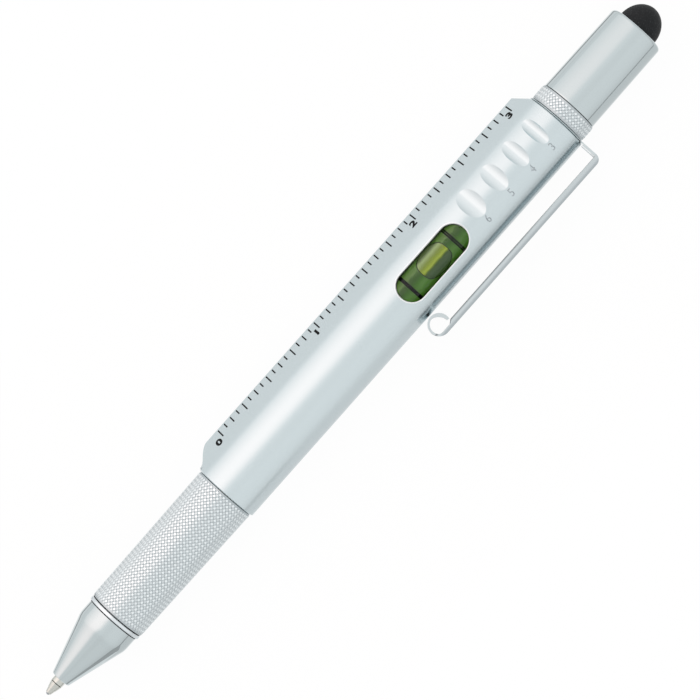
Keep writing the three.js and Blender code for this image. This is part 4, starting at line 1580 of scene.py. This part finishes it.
@dataclass(frozen=True)
class Clip:
    """One folded strip with turned-in edges, rolled to a loop."""

    reach: float = 10.47
    length: float = 40.54
    width: float = 4.4
    depth: float = 1.2
    leg_depth: float = 0.46
    strip: float = 0.4
    corner: float = 1.3
    corner_steps: int = 12
    loop_radius: float = 2.05
    loop_turn: float = 288
    loop_steps: int = 56
    loop_swell: float = 0.34
    swell_start: float = 260
    swell_rate: float = 1.45
    root: float = 6.37
    stop: float = 0.9
    stop_slope: float = 1.3
    stop_margin: float = 0.25
    stop_share: float = 0.6
    stop_tilt: float = 0.97
    fold_round: float = 0.1
    round_steps: int = 3
    round_from: float = 55

    def build(self) -> None:
        """Folds and rolls the clip."""
        face = PEN.span("clip_strip").end
        half = self.width / 2
        corner = (face - self.corner, -(self.reach - self.corner))
        loop = (face - self.length, -(self.reach - self.loop_radius))
        bend = arc(corner, self.corner, -90, 0, self.corner_steps)
        web = Solid.drawn([
            (face, -self.root), (face - self.strip, -self.root),
            *arc(corner, self.corner - self.strip, 0, -90, self.corner_steps), *self.loop_inside(loop),
            *arc(loop, self.loop_radius, -90 - self.loop_turn, -90, self.loop_steps), *bend,
        ], -half, half)
        stop = loop[0] + self.stop
        lip = self.reach - self.depth
        flange = [
            (face, -self.root), (face - self.leg_depth, -self.root), (face - self.leg_depth, -lip),
            (stop + self.stop_slope, -lip), (stop, -(self.reach - self.strip)), (stop, -self.reach), *bend,
        ]
        web.join(Solid.drawn(flange, -half, self.strip - half), Solid.drawn(flange, half - self.strip, half))
        web.weld().modify("BEVEL", width=self.fold_round, segments=self.round_steps,
                          limit_method="ANGLE", angle_limit=math.radians(self.round_from))
        # The clip's finish paints shade lines and a highlight along its edges.
        clip = web.piece("clip_folded", Body.CLIP, Slot.BRIGHT_CHROME, STRIP_PAINTED_SHADE, "clip_strip")

        def on_stop(spot: Vector, normal: Vector) -> bool:
            """Chooses the sloped ends of the turned-in edges."""
            share = (-spot.y - lip) / (self.depth - self.strip)
            along = stop + self.stop_slope * (1 - share)
            near = abs(spot.x - along) < self.stop_margin and abs(share - 0.5) < self.stop_share
            return near and normal.z < self.stop_tilt

        face_finish(clip, SHADED_GAP, on_stop)

    def loop_inside(self, centre: tuple[float, float]) -> list[tuple[float, float]]:
        """Draws the loop's inner line, where the rolled sheet swells on its way back.

        Args:
            centre: The loop's centre.

        Returns:
            The line's points.
        """
        points = []
        for t in shares(self.loop_steps):
            turned = 90 + self.loop_turn * t
            swell = math.sin(math.radians((turned - self.swell_start) * self.swell_rate))
            radius = self.loop_radius - self.strip - self.loop_swell * max(0.0, swell)
            angle = math.radians(-turned)
            points.append((centre[0] + radius * math.cos(angle), centre[1] + radius * math.sin(angle)))
        return points


@dataclass(frozen=True)
class StylusCap:
    """The chromed cap with the stylus dome on its end."""

    taper: float = 0.13
    rim: float = 0.7
    rim_steps: int = 10
    wall: float = 0.55
    hole: float = 1.6
    floor: float = 4.03
    mouth: float = 0.06
    edge: float = 0.12
    edge_crown: float = 0.04
    straight: float = 0.3
    dome_wall: float = 0.8
    dome_steps: int = 24
    dome_sides: int = 96

    def build(self) -> None:
        """Makes the cap and the dome."""
        cap = PEN.span("cap_shell")
        top = cap.radius - self.taper
        bore = top - self.wall
        floor = cap.end - self.floor
        Solid.turned([
            (cap.start + self.mouth, bore), (cap.start, bore + self.mouth),
            (cap.start, cap.radius - self.edge), (cap.start + self.edge_crown, cap.radius - self.edge_crown),
            (cap.start + self.edge, cap.radius),
            (cap.start + self.straight, cap.radius), (cap.end - self.rim - self.straight, top),
            *arc((cap.end - self.rim, top - self.rim), self.rim, 90, 0, self.rim_steps),
            (cap.end, self.hole), (floor, self.hole), (floor, bore), (cap.start + self.mouth, bore),
        ]).piece("cap_chromed", Body.STYLUS_CAP, Slot.BRIGHT_CHROME, CHROME, "cap_shell")
        dome = PEN.span("stylus_dome")
        wall = self.dome_wall
        inner = dome.start + wall
        outside = arc((0, 0), 1, 90, 0, self.dome_steps)
        inside = arc((0, 0), 1, 0, 90, self.dome_steps // 2)
        Solid.turned([
            (dome.start, self.hole), *((dome.start + dome.length * x, dome.radius * r) for x, r in outside),
            *((inner + (dome.length - 2 * wall) * x, (dome.radius - wall) * r) for x, r in inside),
            (inner, self.hole), (dome.start, self.hole),
        ], self.dome_sides).piece("stylus_dome_rubber", Body.STYLUS_CAP, Slot.RUBBER, RUBBER, "stylus_dome")


class InnerParts:
    """The parts inside the pen whose CAD shape is right as it is."""

    FINISHES: dict[str, Finish] = {
        "grip_core": BRASS, "cam_rotor": BRASS, "refill_carrier": WHITE_PLASTIC, "refill_ink": INK,
        "bearing_bush": WHITE_PLASTIC, "mechanism_housing": WHITE_PLASTIC, "vial_cradle": WHITE_PLASTIC,
        "vial_plug_front": ACRYLIC, "vial_plug_rear": ACRYLIC, "bit_holder": STEEL, "bit_magnet": MAGNET,
        "cap_seal_ring": RUBBER, "cap_liner": BLACK_PLASTIC, "driver_bit": STEEL, "stylus_stem": STEEL,
    }

    def build(self) -> None:
        """Dresses each CAD node in its finish."""
        for name, finish in self.FINISHES.items():
            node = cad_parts[name]
            if node.hide_render:
                continue
            for slot in node.material_slots:
                slot.material = finish.material()
            log.info("%s: CAD shape in %s", name, finish.name)


@dataclass(frozen=True)
class Studio:
    """Camera straight above, pale floor, and a soft tent of light round the pen."""

    lens: float = 198.4
    sensor: float = 36
    farthest: float = 10
    camera_place: Point = (80.48, 0.31, 677.0)
    turn: float = -48.42
    floor_length: float = 110.0
    floor_width: float = 45.0
    floor_tone: float = 0.95
    floor_glow: float = 0.95
    tent_radius: float = 1.6
    tent_sides: int = 64
    white: tuple[float, ...] = (1, 1, 1, 1)
    sky: Levels = (
        (-180, 1.0), (-110, 0.85), (-96, 0.8), (-78, 0.91), (-62, 0.96), (-33, 0.98), (-20, 0.95),
        (-6, 0.96), (0, 1.0), (110, 1.0), (180, 1.0),
    )
    sky_along: Levels = (
        (-180, 0.9), (-90, 0.72), (-75, 0.8), (-60, 0.86), (-43, 0.89), (-25, 0.97), (0, 1.0),
        (30, 1.0), (55, 0.95), (75, 0.85), (90, 0.72), (110, 0.75), (180, 0.9),
    )
    strip: Levels = (
        (-180, 0.0), (0, 0.0), (6.5, 0.1), (12, 0.28), (20, 0.47), (33, 0.52), (47, 0.5),
        (62, 0.4), (78, 0.27), (96, 0.1), (112, 0.05), (120, 0.0), (180, 0.0),
    )
    strip_along: Levels = (
        (-180, 0.0), (-100, 0.4), (-70, 0.7), (-45, 0.82), (-25, 1.08), (-4, 1.12), (0, 1.0), (4, 0.85),
        (6, 0.68), (8.5, 0.45), (11, 0.45), (16, 0.55), (30, 0.45), (60, 0.25), (90, 0.0), (180, 0.0),
    )
    strip_colour: tuple[float, ...] = (1.0, 0.72, 0.66, 1.0)
    strip_skew: float = -0.3
    cards: tuple[tuple[float, ...], ...] = (
        (-110, 110, 9.8, 12.3, 0.43), (-110, 110, 12.3, 20, 0.91), (-110, 110, 20, 24, 0.84),
        (-110, 110, 24, 60, 0.92), (-72, 110, -22, -8.5, 0.8), (-72, 110, -62, -22, 0.8),
        (-25, 15, -160, -62, 0.8), (-120, -25, -130, -62, 0.42), (15, 250, -110, -62, 0.4),
        (-300, -72, -75, -17, 0.5),
    )

    def camera(self) -> None:
        """Sets the camera where the photograph was taken from."""
        data = bpy.data.cameras.new("camera")
        data.lens = self.lens
        data.sensor_width = self.sensor
        data.clip_end = self.farthest
        thing = linked("camera", data)
        thing.location = PEN.place(self.camera_place)
        thing.rotation_euler = (0, 0, math.radians(self.turn))
        bpy.context.scene.camera = thing

    def seen(self, wiring: Wiring) -> Socket:
        """One for rays that show the background, straight or through metal and glass."""
        path = wiring.node("ShaderNodeLightPath")
        either = wiring.maths("MAXIMUM", path.outputs["Is Camera Ray"], path.outputs["Is Glossy Ray"])
        return wiring.maths("MAXIMUM", either, path.outputs["Is Transmission Ray"])

    def stand(self, name: str, mesh: Mesh, material: bpy.types.Material, *hidden_from: str) -> None:
        """Puts one piece of the studio up.

        Args:
            name: Its name.
            mesh: Its mesh.
            material: What it is dressed in.
            *hidden_from: The kinds of ray that don't meet it.
        """
        mesh.materials.append(material)
        thing = linked(name, mesh)
        for rays in hidden_from:
            setattr(thing, f"visible_{rays}", False)

    def sheet(self, left: float, right: float, near: float, far: float, height: float) -> Mesh:
        """Makes a level sheet.

        Args:
            left: Its start along the pen, in millimetres from the camera's place.
            right: Its end along the pen.
            near: Its start across the pen.
            far: Its end across the pen.
            height: How high it lies in the row frame, in metres.

        Returns:
            The sheet's mesh.
        """
        corners = ((left, near), (right, near), (right, far), (left, far))
        points = [PEN.place((self.camera_place[0] + x, y, 0)) for x, y in corners]
        mesh = bpy.data.meshes.new("sheet")
        mesh.from_pydata([(p.x, p.y, height) for p in points], [], [(0, 1, 2, 3)])
        return mesh

    def floor_light(self, wiring: Wiring) -> Socket:
        """Lets the pale floor glow where it is seen as background.

        Args:
            wiring: The floor's tree.

        Returns:
            The shader.
        """
        matt = wiring.out("ShaderNodeBsdfDiffuse", {"Color": (*[self.floor_tone] * 3, 1)})
        glow = wiring.out("ShaderNodeEmission", {"Color": self.white, "Strength": 1.0})
        share = wiring.maths("MULTIPLY", self.seen(wiring), self.floor_glow)
        return wiring.out("ShaderNodeMixShader", {0: share, 1: matt, 2: glow})

    def floor(self) -> None:
        """Lays the pale floor under the pen."""
        half, wide = self.floor_length, self.floor_width
        self.stand("floor", self.sheet(-half, half, -wide, wide, 0), surfaced("pale_floor", self.floor_light))

    def grey_cards(self) -> None:
        """Lays the grey cards beside the pen that draw its metal edges, seen only in its gloss."""
        for number, (*edges, level) in enumerate(self.cards, 1):
            grey = {"Color": self.white, "Strength": level}
            material = surfaced(f"grey_card_{number}", lambda wiring: wiring.out("ShaderNodeEmission", grey))
            self.stand(f"grey_card_{number}", self.sheet(*edges, PEN.unit / 2), material,
                       "camera", "diffuse", "transmission", "shadow")

    def by_angle(self, wiring: Wiring, side: Socket, up: Socket, levels: Levels) -> Socket:
        """Reads a light level off a table by the angle from straight up.

        Args:
            wiring: The tent's tree.
            side: How far out to the side.
            up: How far up.
            levels: Pairs of an angle in degrees and its level.

        Returns:
            The level.
        """
        share = wiring.maths("MULTIPLY_ADD", wiring.maths("ARCTAN2", side, up), 1 / (2 * math.pi), 0.5)
        peak = max(level for _, level in levels)
        stops = [((degrees + 180) / 360, (*[level / peak] * 3, 1)) for degrees, level in levels]
        return wiring.maths("MULTIPLY", wiring.ramp(share, stops), peak)

    def tent_light(self, wiring: Wiring) -> Socket:
        """Adds up a plain pale sky and a long warm strip of light off the top.

        Args:
            wiring: The tent's tree.

        Returns:
            The shader.
        """
        coordinates = wiring.node("ShaderNodeTexCoord").outputs["Object"]
        split = wiring.node("ShaderNodeSeparateXYZ", {0: coordinates})
        x, y, z = (split.outputs[axis] for axis in "XYZ")
        out = wiring.out("ShaderNodeVectorMath", {0: wiring.vector(y=y, z=z)}, operation="LENGTH")
        lights = []
        for across, along, skew, colour in (
            (self.sky, self.sky_along, 0.0, self.white),
            (self.strip, self.strip_along, self.strip_skew, self.strip_colour),
        ):
            side = wiring.maths("MULTIPLY_ADD", wiring.maths("ABSOLUTE", x), skew, y)
            level = wiring.maths(
                "MULTIPLY", self.by_angle(wiring, side, z, across), self.by_angle(wiring, x, out, along))
            lights.append(wiring.out("ShaderNodeEmission", {"Color": colour, "Strength": level}))
        return wiring.out("ShaderNodeAddShader", dict(enumerate(lights)))

    def tent(self) -> None:
        """Hangs the tent of light round everything."""
        mesh = bpy.data.meshes.new("tent")
        with edited(mesh) as work:
            bmesh.ops.create_uvsphere(
                work, u_segments=self.tent_sides, v_segments=self.tent_sides // 2, radius=self.tent_radius)
        self.stand("tent", mesh, surfaced("tent_light", self.tent_light), "camera", "shadow")

    def world(self) -> None:
        """Makes the world plain white behind everything."""
        world = bpy.data.worlds.new("studio")
        wiring = Wiring.bare(world)
        level = wiring.maths("MULTIPLY", self.seen(wiring), 1.0)
        sky = wiring.out("ShaderNodeBackground", {"Color": self.white, "Strength": level})
        wiring.node("ShaderNodeOutputWorld", {"Surface": sky})
        bpy.context.scene.world = world
        bpy.context.scene.view_settings.view_transform = "Standard"

    def build(self) -> None:
        """Sets the whole studio up."""
        self.camera()
        self.floor()
        self.grey_cards()
        self.tent()
        self.world()


INCHES = RulerScale(
    "ruler_print_inches", Side.FRONT, zero=54.46, step=1.5875, ticks=49,
    long_every=4, middle_every=2, number_every=16)
CENTIMETRES = RulerScale(
    "ruler_print_centimetres", Side.BACK, zero=130.7, step=1.0, ticks=71,
    long_every=10, middle_every=5, number_every=10, short_tick=1.4)


def main() -> None:
    """Builds the studio and the pen in order."""
    logging.basicConfig(level=logging.INFO, format="%(name)s %(message)s")
    Studio().build()
    barrel = Barrel()
    barrel.build()
    INCHES.build(barrel)
    CENTIMETRES.build(barrel)
    Level().build(barrel)
    for part in (WritingEnd(), Refill(), RearEnd(), Clip(), StylusCap(), InnerParts()):
        part.build()


if __name__ == "__main__":
    main()
